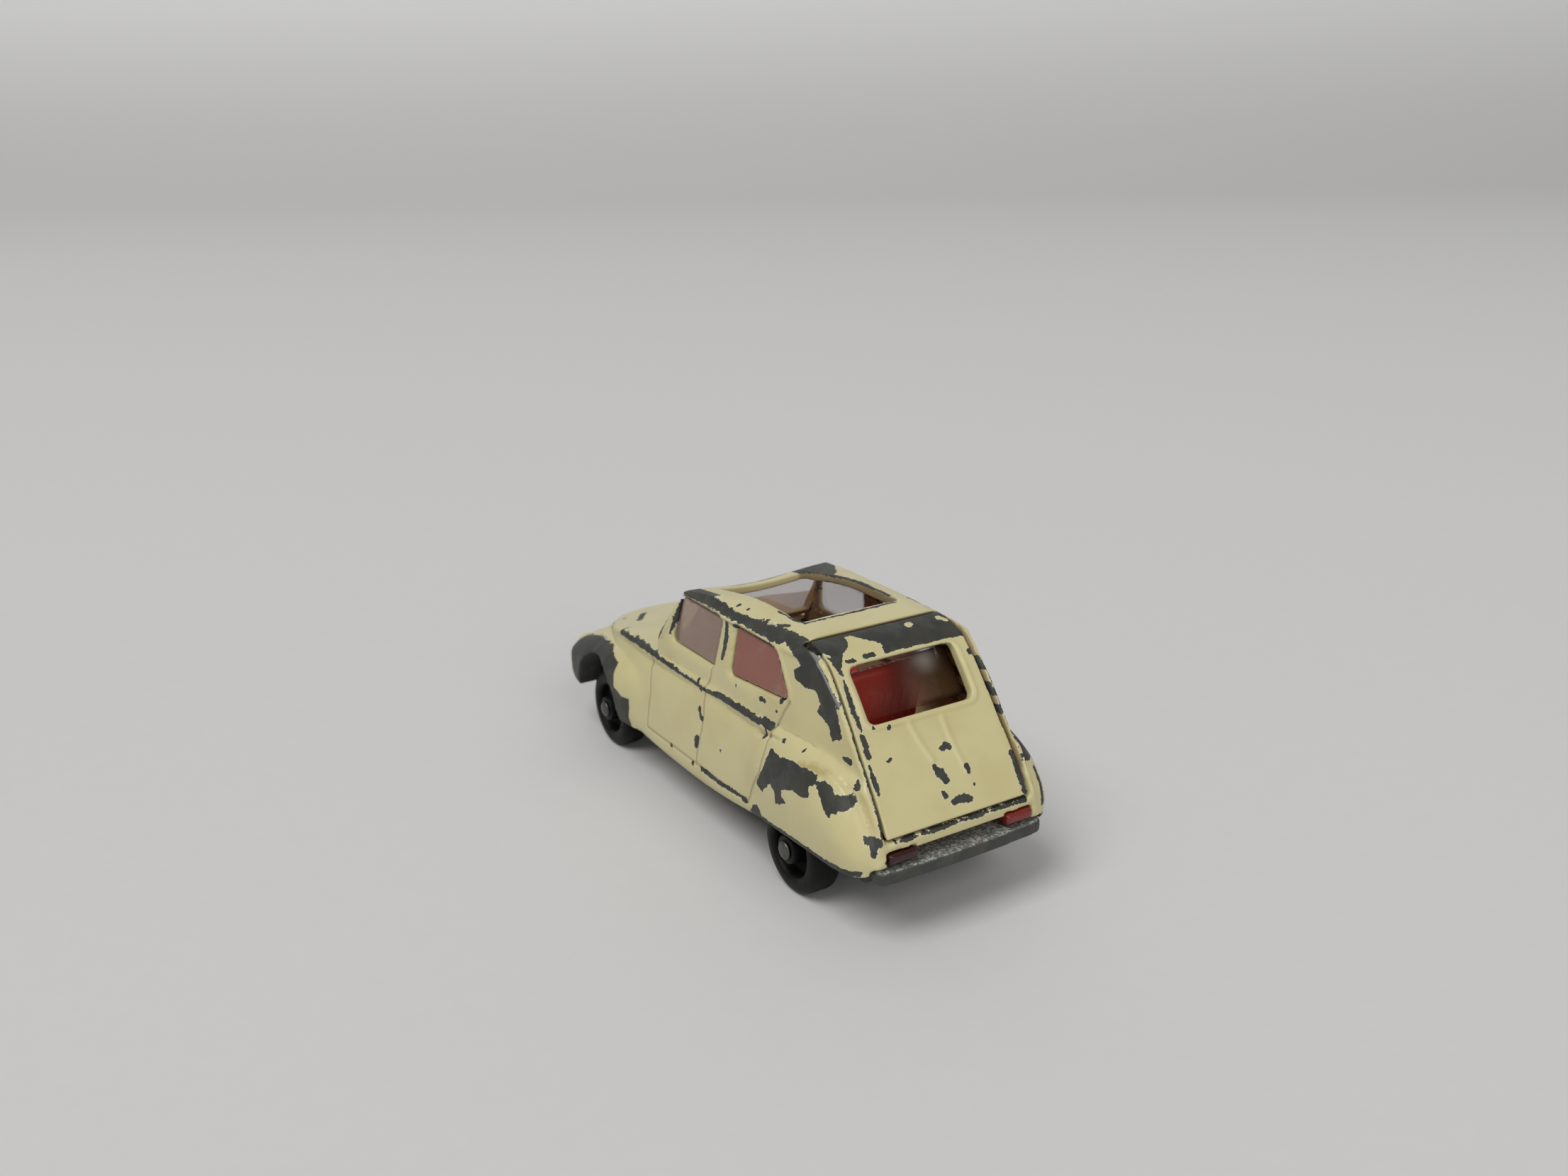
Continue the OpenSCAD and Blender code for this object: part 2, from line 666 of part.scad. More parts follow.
// Side panes, windscreen and rear pane, joined along their edges by two narrow strips
module glazing() {
    t = 0.6;
    color(clear) {
        for (side = [0, 1]) mirror([side, 0, 0]) {
            window_plug(front_window);
            window_plug(rear_window);
        }
        for (s = [-1, 1]) {
            pane([[s * 8.68, -6.4, 17.9], [s * 8.5, 15.2, 17.9], [s * 7.83, 13.4, 22.65],
                [s * 8.01, -4.1, 22.65]], t);
            pane([[s * 7.9, 12.8, 22.7], [s * 6.6, 19, 21.5], [s * 6.7, 19.8, 20.3],
                [s * 8.05, 12.8, 21.3]], t);
        }
        pane([[-8.5, -8.2, 17.7], [8.5, -8.2, 17.7], [7.6, -3.9, 23.1], [-7.6, -3.9, 23.1]], t);
        pane([[-6.7, 19, 21.55], [6.7, 19, 21.55], [6.9, 21.7, 17.9], [-6.9, 21.7, 17.9]], t);
    }
}

module axle(y) {
    head_r = 0.95;
    head_t = 0.4;
    head_x = wheel_x + 0.45;
    dome = [[0, 0], [head_r, 0], [head_r * 0.9, head_t * 0.55], [head_r * 0.5, head_t], [0, head_t]];
    color(steel)
        translate([0, y, axle_z])
            rotate([0, 90, 0]) {
                translate([0, 0, -head_x])
                    cylinder(r = axle_d / 2, h = 2 * head_x);
                for (side = [0, 1]) mirror([0, 0, side])
                    translate([0, 0, head_x])
                        rotate_extrude()
                            polygon(dome);
            }
}

module front_axle() {
    axle(front_axle_y);
}

module rear_axle() {
    axle(rear_axle_y);
}

// Tyre and hub in one moulding: round shoulders, deep ring recess, raised hub
module wheel(side, y) {
    inner = wheel_x - wheel_w;
    shoulder = 0.5;
    rim_r = wheel_r - 1.75;
    hub_r = 1.55;
    bore_r = axle_d / 2 + play;
    profile = [[bore_r, inner - 0.3], [hub_r, inner - 0.3], [hub_r, inner], [wheel_r - shoulder, inner],
        [wheel_r - 0.12, inner + 0.18], [wheel_r, inner + shoulder],
        [wheel_r, wheel_x - shoulder - 0.25], [wheel_r - 0.15, wheel_x - 0.3],
        [wheel_r - shoulder - 0.1, wheel_x - 0.05], [wheel_r - 1.1, wheel_x],
        [rim_r + 0.25, wheel_x - 0.05], [rim_r, wheel_x - 0.3], [rim_r - 0.15, wheel_x - 1.5],
        [hub_r, wheel_x - 1.6], [hub_r - 0.1, wheel_x + 0.25], [hub_r - 0.3, wheel_x + 0.35],
        [bore_r, wheel_x + 0.35]];
    color(black)
        translate([0, y, axle_z])
            rotate([0, side * 90, 0])
                rotate_extrude()
                    polygon(profile);
}

module front_left_wheel() {
    wheel(1, front_axle_y);
}

module front_right_wheel() {
    wheel(-1, front_axle_y);
}

module rear_left_wheel() {
    wheel(1, rear_axle_y);
}

module rear_right_wheel() {
    wheel(-1, rear_axle_y);
}

// Plastic leaf that lies in the tray and bears on the axle from above
module axle_spring(y) {
    leaf_w = 4;
    leaf_t = 0.5;
    clear_z = axle_z + axle_d / 2 + 0.1;
    color(black) {
        translate([-leaf_w / 2, y - 4, clear_z])
            cube([leaf_w, 8, leaf_t]);
        for (end = [-1, 1])
            translate([-leaf_w / 2, y + end * 3.6 - 0.4, tray_z + tray_t])
                cube([leaf_w, 0.8, clear_z - tray_z - tray_t + leaf_t]);
    }
}

module front_axle_spring() {
    axle_spring(front_axle_y);
}

module rear_axle_spring() {
    axle_spring(rear_axle_y);
}

body_shell();
rear_hatch();
base_plate();
interior_tub();
glazing();
front_axle();
rear_axle();
front_left_wheel();
front_right_wheel();
rear_left_wheel();
rear_right_wheel();
front_axle_spring();
rear_axle_spring();
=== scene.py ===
# %% [markdown]
# # A worn diecast car
# The part is a pocket-sized collector's car: a painted zinc casting, an opening hatch, a bare zinc
# base with the bumpers, a red plastic interior that also makes the tail lamps, one clear moulding
# for the windows, and four black wheels on two steel axles. The solids come from the packed model.
# Here they get what years in a toy box gave the real one: soft cast edges, chipped paint and dust.

# %% Load the frame
import math

import bpy
import numpy as np
from mathutils import Matrix, Vector


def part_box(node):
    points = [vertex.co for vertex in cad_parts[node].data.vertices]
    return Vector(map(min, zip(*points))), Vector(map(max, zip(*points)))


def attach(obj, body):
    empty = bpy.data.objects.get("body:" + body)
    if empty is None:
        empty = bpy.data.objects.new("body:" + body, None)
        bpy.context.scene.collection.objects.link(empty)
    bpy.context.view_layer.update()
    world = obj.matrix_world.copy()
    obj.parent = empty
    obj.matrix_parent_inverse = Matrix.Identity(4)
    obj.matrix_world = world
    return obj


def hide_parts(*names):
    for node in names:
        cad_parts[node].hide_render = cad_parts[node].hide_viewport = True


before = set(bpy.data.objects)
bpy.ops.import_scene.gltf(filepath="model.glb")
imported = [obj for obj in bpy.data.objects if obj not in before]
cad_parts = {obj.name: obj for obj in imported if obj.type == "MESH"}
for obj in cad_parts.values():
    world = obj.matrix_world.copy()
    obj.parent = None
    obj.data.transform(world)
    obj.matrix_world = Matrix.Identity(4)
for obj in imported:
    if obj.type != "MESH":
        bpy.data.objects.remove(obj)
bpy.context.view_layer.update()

print("nodes:", ", ".join(sorted(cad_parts)))

# %% [markdown]
# ## The camera
# The photograph looks down on the left rear corner from close by, so its perspective is strong.
# The angle, the distance and the small roll were found by matching wheels, windows and lamps with
# the solids. The lens is focused on the hatch and stopped down until the nose is only a little
# soft. Blender wants a matrix whose columns are the camera's right, up and back directions.

# %% Camera at the photograph's angle
MM = 0.001
PHOTO_WIDTH = 2212
FOCAL_PIXELS = 1912.4
SENSOR_MM = 36.0
AZIMUTH, ELEVATION, ROLL = (math.radians(v) for v in (148.209, 18.597, -0.825))
LOOK_AT = Vector((-19.156, -30.174, 11.87)) * MM
DISTANCE = 182.373 * MM
FOCUS_DISTANCE, APERTURE = 129 * MM, 40.0
NEAREST, FARTHEST = 0.01, 20.0


def placed(name, data):
    """A new object in the scene."""
    obj = bpy.data.objects.new(name, data)
    bpy.context.collection.objects.link(obj)
    return obj


def photo_camera():
    back = Vector((math.sin(AZIMUTH) * math.cos(ELEVATION),
                   -math.cos(AZIMUTH) * math.cos(ELEVATION), math.sin(ELEVATION)))
    level = Vector((math.cos(AZIMUTH), math.sin(AZIMUTH), 0.0))
    upright = back.cross(level)
    right = level * math.cos(ROLL) + upright * math.sin(ROLL)
    up = upright * math.cos(ROLL) - level * math.sin(ROLL)
    data = bpy.data.cameras.new("photo_camera")
    data.sensor_width = SENSOR_MM
    data.lens = FOCAL_PIXELS / PHOTO_WIDTH * SENSOR_MM
    data.clip_start, data.clip_end = NEAREST, FARTHEST
    data.dof.use_dof = True
    data.dof.focus_distance = FOCUS_DISTANCE
    data.dof.aperture_fstop = APERTURE
    camera = placed("photo_camera", data)
    camera.matrix_world = Matrix.Translation(LOOK_AT + back * DISTANCE) @ Matrix(
        (right, up, back)).transposed().to_4x4()
    bpy.context.scene.camera = camera
    print("camera lens", round(data.lens, 2), "mm")


photo_camera()

# %% [markdown]
# ## Shader sums as Python
# A worn surface is mostly arithmetic: where paint is left, how deep dirt sits, how far a chip
# reaches. Wiring Math nodes by hand hides that, so a socket is wrapped in a small class with the
# usual operators. `1 - bare` then adds a Math node by itself. Every other node goes through `add`.

# %% Sockets that do sums


class Sock:
    """A node's output that can stand in a sum."""

    def __init__(self, finish, socket):
        self.finish, self.socket = finish, socket

    def _math(self, operation, first, second):
        return self.finish.add("ShaderNodeMath", {"operation": operation}, {0: first, 1: second})

    def __add__(self, other):
        return self._math("ADD", self, other)

    def __sub__(self, other):
        return self._math("SUBTRACT", self, other)

    def __rsub__(self, other):
        return self._math("SUBTRACT", other, self)

    def __mul__(self, other):
        return self._math("MULTIPLY", self, other)

    __radd__ = __add__
    __rmul__ = __mul__

    def larger(self, other):
        return self._math("MAXIMUM", self, other)

    def step(self, low, high):
        """0 below low, 1 above high, and a soft ramp between them."""
        return self.finish.add("ShaderNodeMapRange", {"interpolation_type": "SMOOTHSTEP"},
                               {"Value": self, "From Min": low, "From Max": high})


print("sums for sockets:", ", ".join(name for name in vars(Sock) if name.strip("_") == name))

# %% A finish that holds them
NOISE_ROUGHNESS = 0.55


class Finish:
    """A material that is written as sums of sockets."""

    def __init__(self, name):
        self.material = bpy.data.materials.new(name)
        self.material.use_nodes = True
        self.tree = self.material.node_tree
        self.tree.nodes.clear()
        self.place = self.add("ShaderNodeTexCoord", out="Object")

    def add(self, kind, settings=None, sockets=None, out=0):
        node = self.tree.nodes.new(kind)
        for key, value in (settings or {}).items():
            setattr(node, key, value)
        for key, value in (sockets or {}).items():
            if isinstance(value, Sock):
                self.tree.links.new(value.socket, node.inputs[key])
            else:
                node.inputs[key].default_value = value
        return None if out is None else Sock(self, node.outputs[out])

    def field(self, name):
        """A number that the mesh carries at its points."""
        return self.add("ShaderNodeAttribute", {"attribute_name": name}, out="Fac")

    def noise(self, size_mm, detail, stretch=(1, 1, 1)):
        """Cloudy noise, from 0 to 1, whose lumps are about size_mm across."""
        spread = self.add("ShaderNodeVectorMath", {"operation": "MULTIPLY"},
                          {0: self.place, 1: [s / (size_mm * MM) for s in stretch]})
        return self.add("ShaderNodeTexNoise", None,
                        {"Vector": spread, "Scale": 1.0, "Detail": detail,
                         "Roughness": NOISE_ROUGHNESS})

    def grains(self, size_mm, out="Distance"):
        """Small cells, as in a sandy cast surface."""
        return self.add("ShaderNodeTexVoronoi", None,
                        {"Vector": self.place, "Scale": 1.0 / (size_mm * MM)}, out=out)

    def mix(self, first, second, amount):
        """Colour first where amount is 0, second where it is 1."""
        return self.add("ShaderNodeMix", {"data_type": "RGBA"},
                        {0: amount, 6: first, 7: second}, out=2)

    def bump(self, height, depth_mm):
        return self.add("ShaderNodeBump", None,
                        {"Height": height, "Distance": depth_mm * MM, "Strength": 1.0}, out="Normal")

    def surface(self, sockets):
        shader = self.add("ShaderNodeBsdfPrincipled", None, sockets)
        self.add("ShaderNodeOutputMaterial", None, {"Surface": shader}, out=None)
        return self.material


def tone(red, green, blue):
    """A linear colour for a socket."""
    return (red, green, blue, 1.0)


print("noise roughness", NOISE_ROUGHNESS)

# %% [markdown]
# ## Fine skins from the solids
# A casting has no sharp edges: metal shrinks away from the mould and paint rounds what is left.
# Bevels would have to be placed edge by edge. Instead each solid is copied, wrapped in a fine even
# skin with the Remesh modifier, and relaxed: each point moves towards its neighbours, so that
# sharp edges become round and flat areas stay flat. The same points then carry seams and wear.

# %% A copy of a solid as a fine, even skin
RELIEF_ROUNDS = 10


def fit(obj, body, node, material):
    """Gives a piece its material, hangs it on its body and hides the solid that it stands for."""
    obj.data.materials.append(material)
    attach(obj, body)
    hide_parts(node)
    print(obj.name, len(obj.data.polygons), "faces on", body)


class Skin:
    """A fine copy of a solid, worked on in millimetres."""

    def __init__(self, node, name, voxel_mm):
        self.node = node
        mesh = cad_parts[node].data.copy()
        mesh.materials.clear()
        mesh.transform(Matrix.Scale(1 / MM, 4))
        self.obj = placed(name, mesh)
        coarse = 1.0
        self.modify("REMESH", mode="VOXEL", voxel_size=voxel_mm * coarse, use_smooth_shade=True)

    def modify(self, kind, **settings):
        """Keeps a modifier's result as the mesh."""
        modifier = self.obj.modifiers.new(kind.lower(), kind)
        for key, value in settings.items():
            setattr(modifier, key, value)
        shown = self.obj.evaluated_get(bpy.context.evaluated_depsgraph_get())
        before, self.obj.data = self.obj.data, bpy.data.meshes.new_from_object(shown)
        self.obj.modifiers.clear()
        bpy.data.meshes.remove(before)
        self.read()

    def read(self):
        mesh = self.obj.data
        co = np.empty(len(mesh.vertices) * 3, np.float32)
        mesh.vertices.foreach_get("co", co)
        self.co = co.reshape(-1, 3).astype(float)
        pairs = np.empty(len(mesh.edges) * 2, np.int32)
        mesh.edges.foreach_get("vertices", pairs)
        self.pairs = pairs.reshape(-1, 2)
        self.count = np.maximum(np.bincount(pairs, minlength=len(self.co)), 1)

    def write(self):
        """Puts the points back, and returns their normals."""
        mesh = self.obj.data
        mesh.vertices.foreach_set("co", self.co.astype(np.float32).ravel())
        mesh.update()
        normal = np.empty(len(mesh.vertices) * 3, np.float32)
        mesh.vertex_normals.foreach_get("vector", normal)
        return normal.reshape(-1, 3).astype(float)

    def around(self, values):
        """The mean of each point's neighbours."""
        a, b = self.pairs.T
        size = len(self.co)
        columns = [np.bincount(a, column[b], size) + np.bincount(b, column[a], size)
                   for column in values.T]
        return np.stack(columns, 1) / self.count[:, None]

    def relax(self, rounds, share=1.0):
        """Moves the points towards their neighbours. share may differ from point to point."""
        weight = 0.5 * np.broadcast_to(np.asarray(share, float), len(self.co))[:, None]
        for _ in range(rounds):
            self.co += weight * (self.around(self.co) - self.co)

    def push(self, amount):
        """Moves the points along their normals, out where amount is above zero."""
        self.co += self.write() * amount[:, None]

    def bulge(self, rounds=RELIEF_ROUNDS):
        """How far each point stands out of its surroundings, in millimetres."""
        normal = self.write()
        smooth = self.co
        for _ in range(rounds):
            smooth = 0.5 * (smooth + self.around(smooth))
        return ((self.co - smooth) * normal).sum(1)

    def carry(self, name, values):
        """Stores a number at every point, for the material."""
        field = self.obj.data.attributes.new(name, "FLOAT", "POINT")
        field.data.foreach_set("value", np.asarray(values, np.float32))

    def carry_relief(self):
        """Stores how far each point stands out, as edge, or lies back, as hollow."""
        lift = self.bulge()
        self.carry("edge", np.maximum(lift, 0))
        self.carry("hollow", np.maximum(-lift, 0))

    def dress(self, body, material):
        """Finishes the piece in metres, on its body and in its material slot."""
        self.write()
        self.obj.data.transform(Matrix.Scale(MM, 4))
        fit(self.obj, body, self.node, material)


# %% [markdown]
# ## Distances
# A seam, a raised frame and a chip are all drawn as lines or outlines on a flat view of the car.
# What a point needs to know is how far it lies from the line, or how deep inside the outline.

# %% Distances that seams and wear are made from
FAR, TINY = 9.0, 1e-9
SIDE_VIEW, TOP_VIEW, BACK_VIEW = (1, 2), (0, 1), (0, 2)


def ramp(value, low, high):
    """0 below low, 1 above high, soft between."""
    t = np.clip((value - low) / (high - low), 0, 1)
    return t * t * (3 - 2 * t)


def line_distance(flat, line):
    """Distance of points on a plane from a line through corners."""
    nearest = np.full(len(flat), FAR)
    for a, b in zip(np.array(line[:-1], float), np.array(line[1:], float)):
        along = np.clip(((flat - a) @ (b - a)) / ((b - a) @ (b - a)), 0, 1)
        nearest = np.minimum(nearest, np.linalg.norm(flat - a - along[:, None] * (b - a), axis=1))
    return nearest


def patch_depth(flat, corners):
    """How deep points lie inside an outline through corners; below zero outside it."""
    ring = list(corners) + [corners[0]]
    inside = np.zeros(len(flat), bool)
    for (ax, ay), (bx, by) in zip(ring[:-1], ring[1:]):
        if ay != by:
            passes = (flat[:, 1] < ay) != (flat[:, 1] < by)
            inside ^= passes & (flat[:, 0] < ax + (flat[:, 1] - ay) * (bx - ax) / (by - ay))
    return line_distance(flat, ring) * np.where(inside, 1, -1)


def stroke_depth(flat, stroke):
    """How deep points lie inside a stroke through marks of (across, up, radius)."""
    deepest = np.full(len(flat), -FAR)
    marks = np.array(stroke if len(stroke) > 1 else stroke * 2, float)
    for a, b in zip(marks[:-1], marks[1:]):
        span = b[:2] - a[:2]
        along = np.clip(((flat - a[:2]) @ span) / max(span @ span, TINY), 0, 1)
        away = np.linalg.norm(flat - a[:2] - along[:, None] * span, axis=1)
        deepest = np.maximum(deepest, a[2] + along * (b[2] - a[2]) - away)
    return deepest


def worn_depth(flat, where, patches=(), strokes=()):
    """How deep points lie inside worn patches and strokes, at the points that where picks out."""
    depth = np.full(len(flat), -FAR)
    near = flat[where]
    layers = [patch_depth(near, p) for p in patches] + [stroke_depth(near, s) for s in strokes]
    depth[where] = np.max(layers, axis=0)
    return depth


print("views: side", SIDE_VIEW, "top", TOP_VIEW, "back", BACK_VIEW)

# %% [markdown]
# ## Worn cream paint
# The casting was dipped in cream enamel. Where hands and other toys rubbed, the enamel broke off
# in scalloped flakes and left dark, dull zinc. The mesh carries how deep each point lies inside a
# worn mark, in millimetres. Noise of under a millimetre is added before the cut, which gives the
# ragged outline at any zoom, and the mask's own step becomes the thickness of the paint in a bump.
# Seams and raised frames are distances too, so their lines stay crisp on any mesh.

# %% Enamel over zinc
CREAM = tone(0.60, 0.54, 0.285)
CREAM_AGED = tone(0.53, 0.455, 0.218)
CREAM_BROKEN = tone(0.68, 0.64, 0.46)
GRIME = tone(0.16, 0.13, 0.085)
OCHRE = tone(0.36, 0.25, 0.075)
# Painted shade with a red reflection, for the casting's cabin side.
CABIN_SHADE_BROWN = tone(0.26, 0.19, 0.10)
ZINC = tone(0.050, 0.053, 0.046)
ZINC_PALE = tone(0.094, 0.098, 0.087)
ZINC_BROWN = tone(0.070, 0.064, 0.049)
# Pale tone for bare polished zinc. It is partly a painted highlight along the rear pillar's ridge.
ZINC_POLISH_HIGHLIGHT = tone(0.42, 0.43, 0.40)
SPREAD = 0.07


def zinc_tone(finish):
    """Dull grey die-cast metal with cloudy patches, a brown tinge and fine scratches."""
    clouds = finish.noise(1.6, 4.0)
    tinge = finish.noise(2.3, 2.0).step(0.52, 0.64)
    scratches = finish.noise(0.12, 2.0, stretch=(0.06, 1, 1)).step(0.66, 0.72)
    grey = finish.mix(ZINC, ZINC_PALE, clouds.step(0.42, 0.72) * 0.6 + scratches * 0.5)
    return finish.mix(grey, ZINC_BROWN, tinge * 0.6)


def worn_paint():
    finish = Finish("worn_cream_paint")
    lumps = finish.noise(0.75, 2.0)
    crumbs = finish.noise(0.24, 2.0)
    reach = finish.field("bare") + (lumps - 0.5) * 0.5 + (crumbs - 0.5) * 0.34 + SPREAD
    flakes = reach.step(-0.012, 0.012)
    rubbed = (finish.field("edge") + (lumps - 0.5) * 0.16 + (crumbs - 0.5) * 0.09).step(0.15, 0.156)
    bare = flakes.larger(rubbed)
    broken = reach.step(-0.10, -0.03) - flakes
    # Polished bare zinc on the pillar ridge: lower roughness, and a colour painted pale as a highlight.
    polish_highlight = finish.field("polish_highlight").step(-0.06, 0.14) * bare
    seam = 1 - (finish.field("seam") + (crumbs - 0.5) * 0.05).step(0.03, 0.20)
    bead = 1 - finish.field("bead").step(0.12, 0.36)
    dirt = (finish.field("hollow") + (crumbs - 0.5) * 0.03).step(0.02, 0.07)
    specks = finish.noise(0.33, 1.0).step(0.80, 0.83) * finish.noise(7.0, 2.0).step(0.45, 0.6)
    stain = (finish.field("stain") + (lumps - 0.5) * 0.8).step(-0.1, 0.5)
    ageing = finish.noise(5.5, 4.0).step(0.35, 0.75)
    cream = finish.mix(CREAM, CREAM_AGED, ageing * 0.55)
    cream = finish.mix(cream, OCHRE, stain * 0.55)
    cream = finish.mix(cream, CREAM_BROKEN, broken * 0.7)
    # Painted shade: the side facing the cabin turns brown.
    cream = finish.mix(cream, CABIN_SHADE_BROWN, finish.field("inside") * 0.85)
    cream = finish.mix(cream, GRIME, (dirt * 0.85).larger(specks * 0.7).larger(seam * 0.45))
    metal = finish.mix(zinc_tone(finish), ZINC_POLISH_HIGHLIGHT, polish_highlight)
    height = ((1 - bare) + bead - seam + finish.noise(0.8, 2.0) * 0.10
              + finish.noise(0.09, 2.0) * bare * 0.25)
    return finish.surface({
        "Base Color": finish.mix(cream, metal, bare),
        "Roughness": 0.30 + finish.noise(1.2, 3.0) * 0.16 + bare * 0.12 + dirt * 0.2 - polish_highlight * 0.22,
        "Metallic": bare * 0.35 + polish_highlight * 0.4,
        "Coat Weight": (1 - bare) * 0.25,
        "Coat Roughness": 0.18,
        "Specular IOR Level": 0.3,
        "Normal": finish.bump(height, 0.06)})


PAINT = worn_paint()
print("paint made with", len(PAINT.node_tree.nodes), "nodes")

# %% [markdown]
# ## Other finishes
# The base was never painted: it is the same zinc, grainy where it was broken from the sprue. The
# red moulding is a glossy plastic that light passes into a little, the windows are clear plastic
# gone hazy and pinkish, the wheels are dull black, and the axles are drawn steel wire.

# %% Zinc and red plastic
# The ledge's lighter grey is painted light, and the sparkle tone paints glints.
LEDGE_LIT_GREY, GLINT_PAINT = tone(0.19, 0.195, 0.175), tone(0.50, 0.505, 0.47)
CREVICE, RUBBED_EDGE = tone(0.018, 0.017, 0.014), tone(0.16, 0.165, 0.15)
RED_BRIGHT, RED_FLOW = tone(0.62, 0.055, 0.038), tone(0.50, 0.042, 0.030)
# The deep red is partly the lamps' thick plastic and partly painted shade on the left lamp.
RED_DEEP_AND_SHADE, PLASTIC_DUST = tone(0.010, 0.0015, 0.001), tone(0.30, 0.22, 0.17)
GRAIN_MM = 0.22


def bare_zinc():
    finish = Finish("bare_die_cast_zinc")
    grain = finish.grains(GRAIN_MM)
    ledge_grain_and_light = finish.field("ledge")
    cells = finish.grains(GRAIN_MM, "Color")
    bright = finish.add("ShaderNodeSeparateColor", None, {"Color": cells}, out=0)
    # Painted glints on the grain of the ledge, over a grey painted lighter as light.
    painted_glint = bright.step(0.30, 0.95) * ledge_grain_and_light
    dirt = finish.field("hollow").step(0.02, 0.10)
    colour = finish.mix(zinc_tone(finish), LEDGE_LIT_GREY, ledge_grain_and_light * 0.8)
    colour = finish.mix(colour, GLINT_PAINT, painted_glint)
    colour = finish.mix(colour, CREVICE, dirt * 0.7)
    shine = finish.field("edge").step(0.04, 0.16)
    colour = finish.mix(colour, RUBBED_EDGE, shine * 0.5)
    height = finish.noise(0.15, 3.0) * 0.35 + grain * ledge_grain_and_light
    return finish.surface({
        "Base Color": colour,
        "Roughness": 0.52 - painted_glint * 0.2 - shine * 0.12,
        "Metallic": 0.3,
        "Normal": finish.bump(height, 0.05)})


def red_moulding():
    finish = Finish("red_moulded_plastic")
    flow = finish.noise(3.0, 3.0)
    dust = finish.noise(0.4, 4.0).step(0.55, 0.8)
    colour = finish.mix(RED_BRIGHT, RED_FLOW, flow)
    # Deeper red in the lamps. On the left lamp it is also painted shade.
    colour = finish.mix(colour, RED_DEEP_AND_SHADE, finish.field("deep"))
    colour = finish.mix(colour, PLASTIC_DUST, dust * 0.08)
    return finish.surface({
        "Base Color": colour,
        "Roughness": 0.24 + dust * 0.3,
        "Coat Weight": 0.15,
        "Coat Roughness": 0.08,
        "Normal": finish.bump(finish.noise(0.5, 2.0), 0.008)})


BARE_ZINC, RED = bare_zinc(), red_moulding()
print("finishes:", BARE_ZINC.name, RED.name)

# %% Clear and black plastic, and steel
HAZE_REAR, HAZE_FORE = tone(0.31, 0.115, 0.082), tone(0.30, 0.205, 0.160)
# The windscreen's inner face is a brown haze painted lighter than the outer face, as light shining
# through it.
HAZE_INNER_LIT, HAZE_EDGE = tone(0.66, 0.38, 0.12), tone(0.36, 0.27, 0.20)
# The last two tones are painted: shade on the right of the hatch pane, and a reflection near its top.
PAINTED_SHADE_BROWN, REFLECTION_PAINT = tone(0.080, 0.042, 0.018), tone(0.40, 0.34, 0.30)
BLACK_CLEAN, BLACK_DUSTY = tone(0.0035, 0.0040, 0.0030), tone(0.013, 0.013, 0.011)
STEEL_BRIGHT, STEEL_TARNISHED = tone(0.16, 0.155, 0.14), tone(0.06, 0.055, 0.045)


def hazy_glass():
    finish = Finish("hazy_clear_plastic")
    milky = finish.field("milky")
    haze = finish.noise(3.5, 4.0)
    dust = finish.noise(0.25, 3.0).step(0.62, 0.75)
    edge_dirt = finish.field("edge").step(0.03, 0.12)
    colour = finish.mix(HAZE_REAR, HAZE_FORE, finish.field("fore"))
    # Inner face of the windscreen: brown haze, painted lighter as light shining through.
    colour = finish.mix(colour, HAZE_INNER_LIT, finish.field("screen"))
    colour = finish.mix(colour, HAZE_EDGE, edge_dirt.larger(haze.step(0.55, 0.8) * 0.4))
    # Painted shade on the right of the hatch pane, and a painted reflection near its top.
    painted_shade, painted_reflection = finish.field("painted_shade"), finish.field("painted_reflection")
    colour = finish.mix(finish.mix(colour, PAINTED_SHADE_BROWN, painted_shade), REFLECTION_PAINT, painted_reflection)
    return finish.surface({
        "Base Color": colour,
        "Roughness": 0.10 + haze * 0.12 + dust * 0.2,
        "Alpha": (0.05 + milky + (haze - 0.5) * 0.2 * milky + dust * 0.10 + edge_dirt * 0.3
                  + (painted_shade * 0.72).larger(painted_reflection * 0.45)),
        "Normal": finish.bump(haze, 0.02)})


def black_wheel():
    finish = Finish("dull_black_plastic")
    dust = finish.noise(0.7, 4.0).step(0.5, 0.8)
    colour = finish.mix(BLACK_CLEAN, BLACK_DUSTY, dust * 0.6)
    return finish.surface({
        "Base Color": colour,
        "Roughness": 0.48 + dust * 0.25,
        "Specular IOR Level": 0.18,
        "Normal": finish.bump(finish.noise(0.3, 3.0), 0.015)})


def steel_wire():
    finish = Finish("drawn_steel_wire")
    tarnish = finish.noise(0.8, 4.0)
    lines = finish.noise(0.10, 2.0, stretch=(0.1, 1, 1))
    colour = finish.mix(STEEL_BRIGHT, STEEL_TARNISHED, tarnish)
    return finish.surface({
        "Base Color": colour,
        "Roughness": 0.30 + tarnish * 0.25,
        "Metallic": 0.8,
        "Normal": finish.bump(lines, 0.006)})


GLASS, BLACK, STEEL = hazy_glass(), black_wheel(), steel_wire()
print("finishes:", GLASS.name, BLACK.name, STEEL.name)

# %% [markdown]
# ## Where the paint is lost
# The marks were traced over the photograph and laid on the solids. Large patches are outlines in
# the side view, as (y, z): the band over the side windows with the rear pillar, the two flakes on
# the rear fender, and the front fender. Lines of chips are strokes with a radius. The right side
# isn't seen, so it wears the same marks moved along the car.

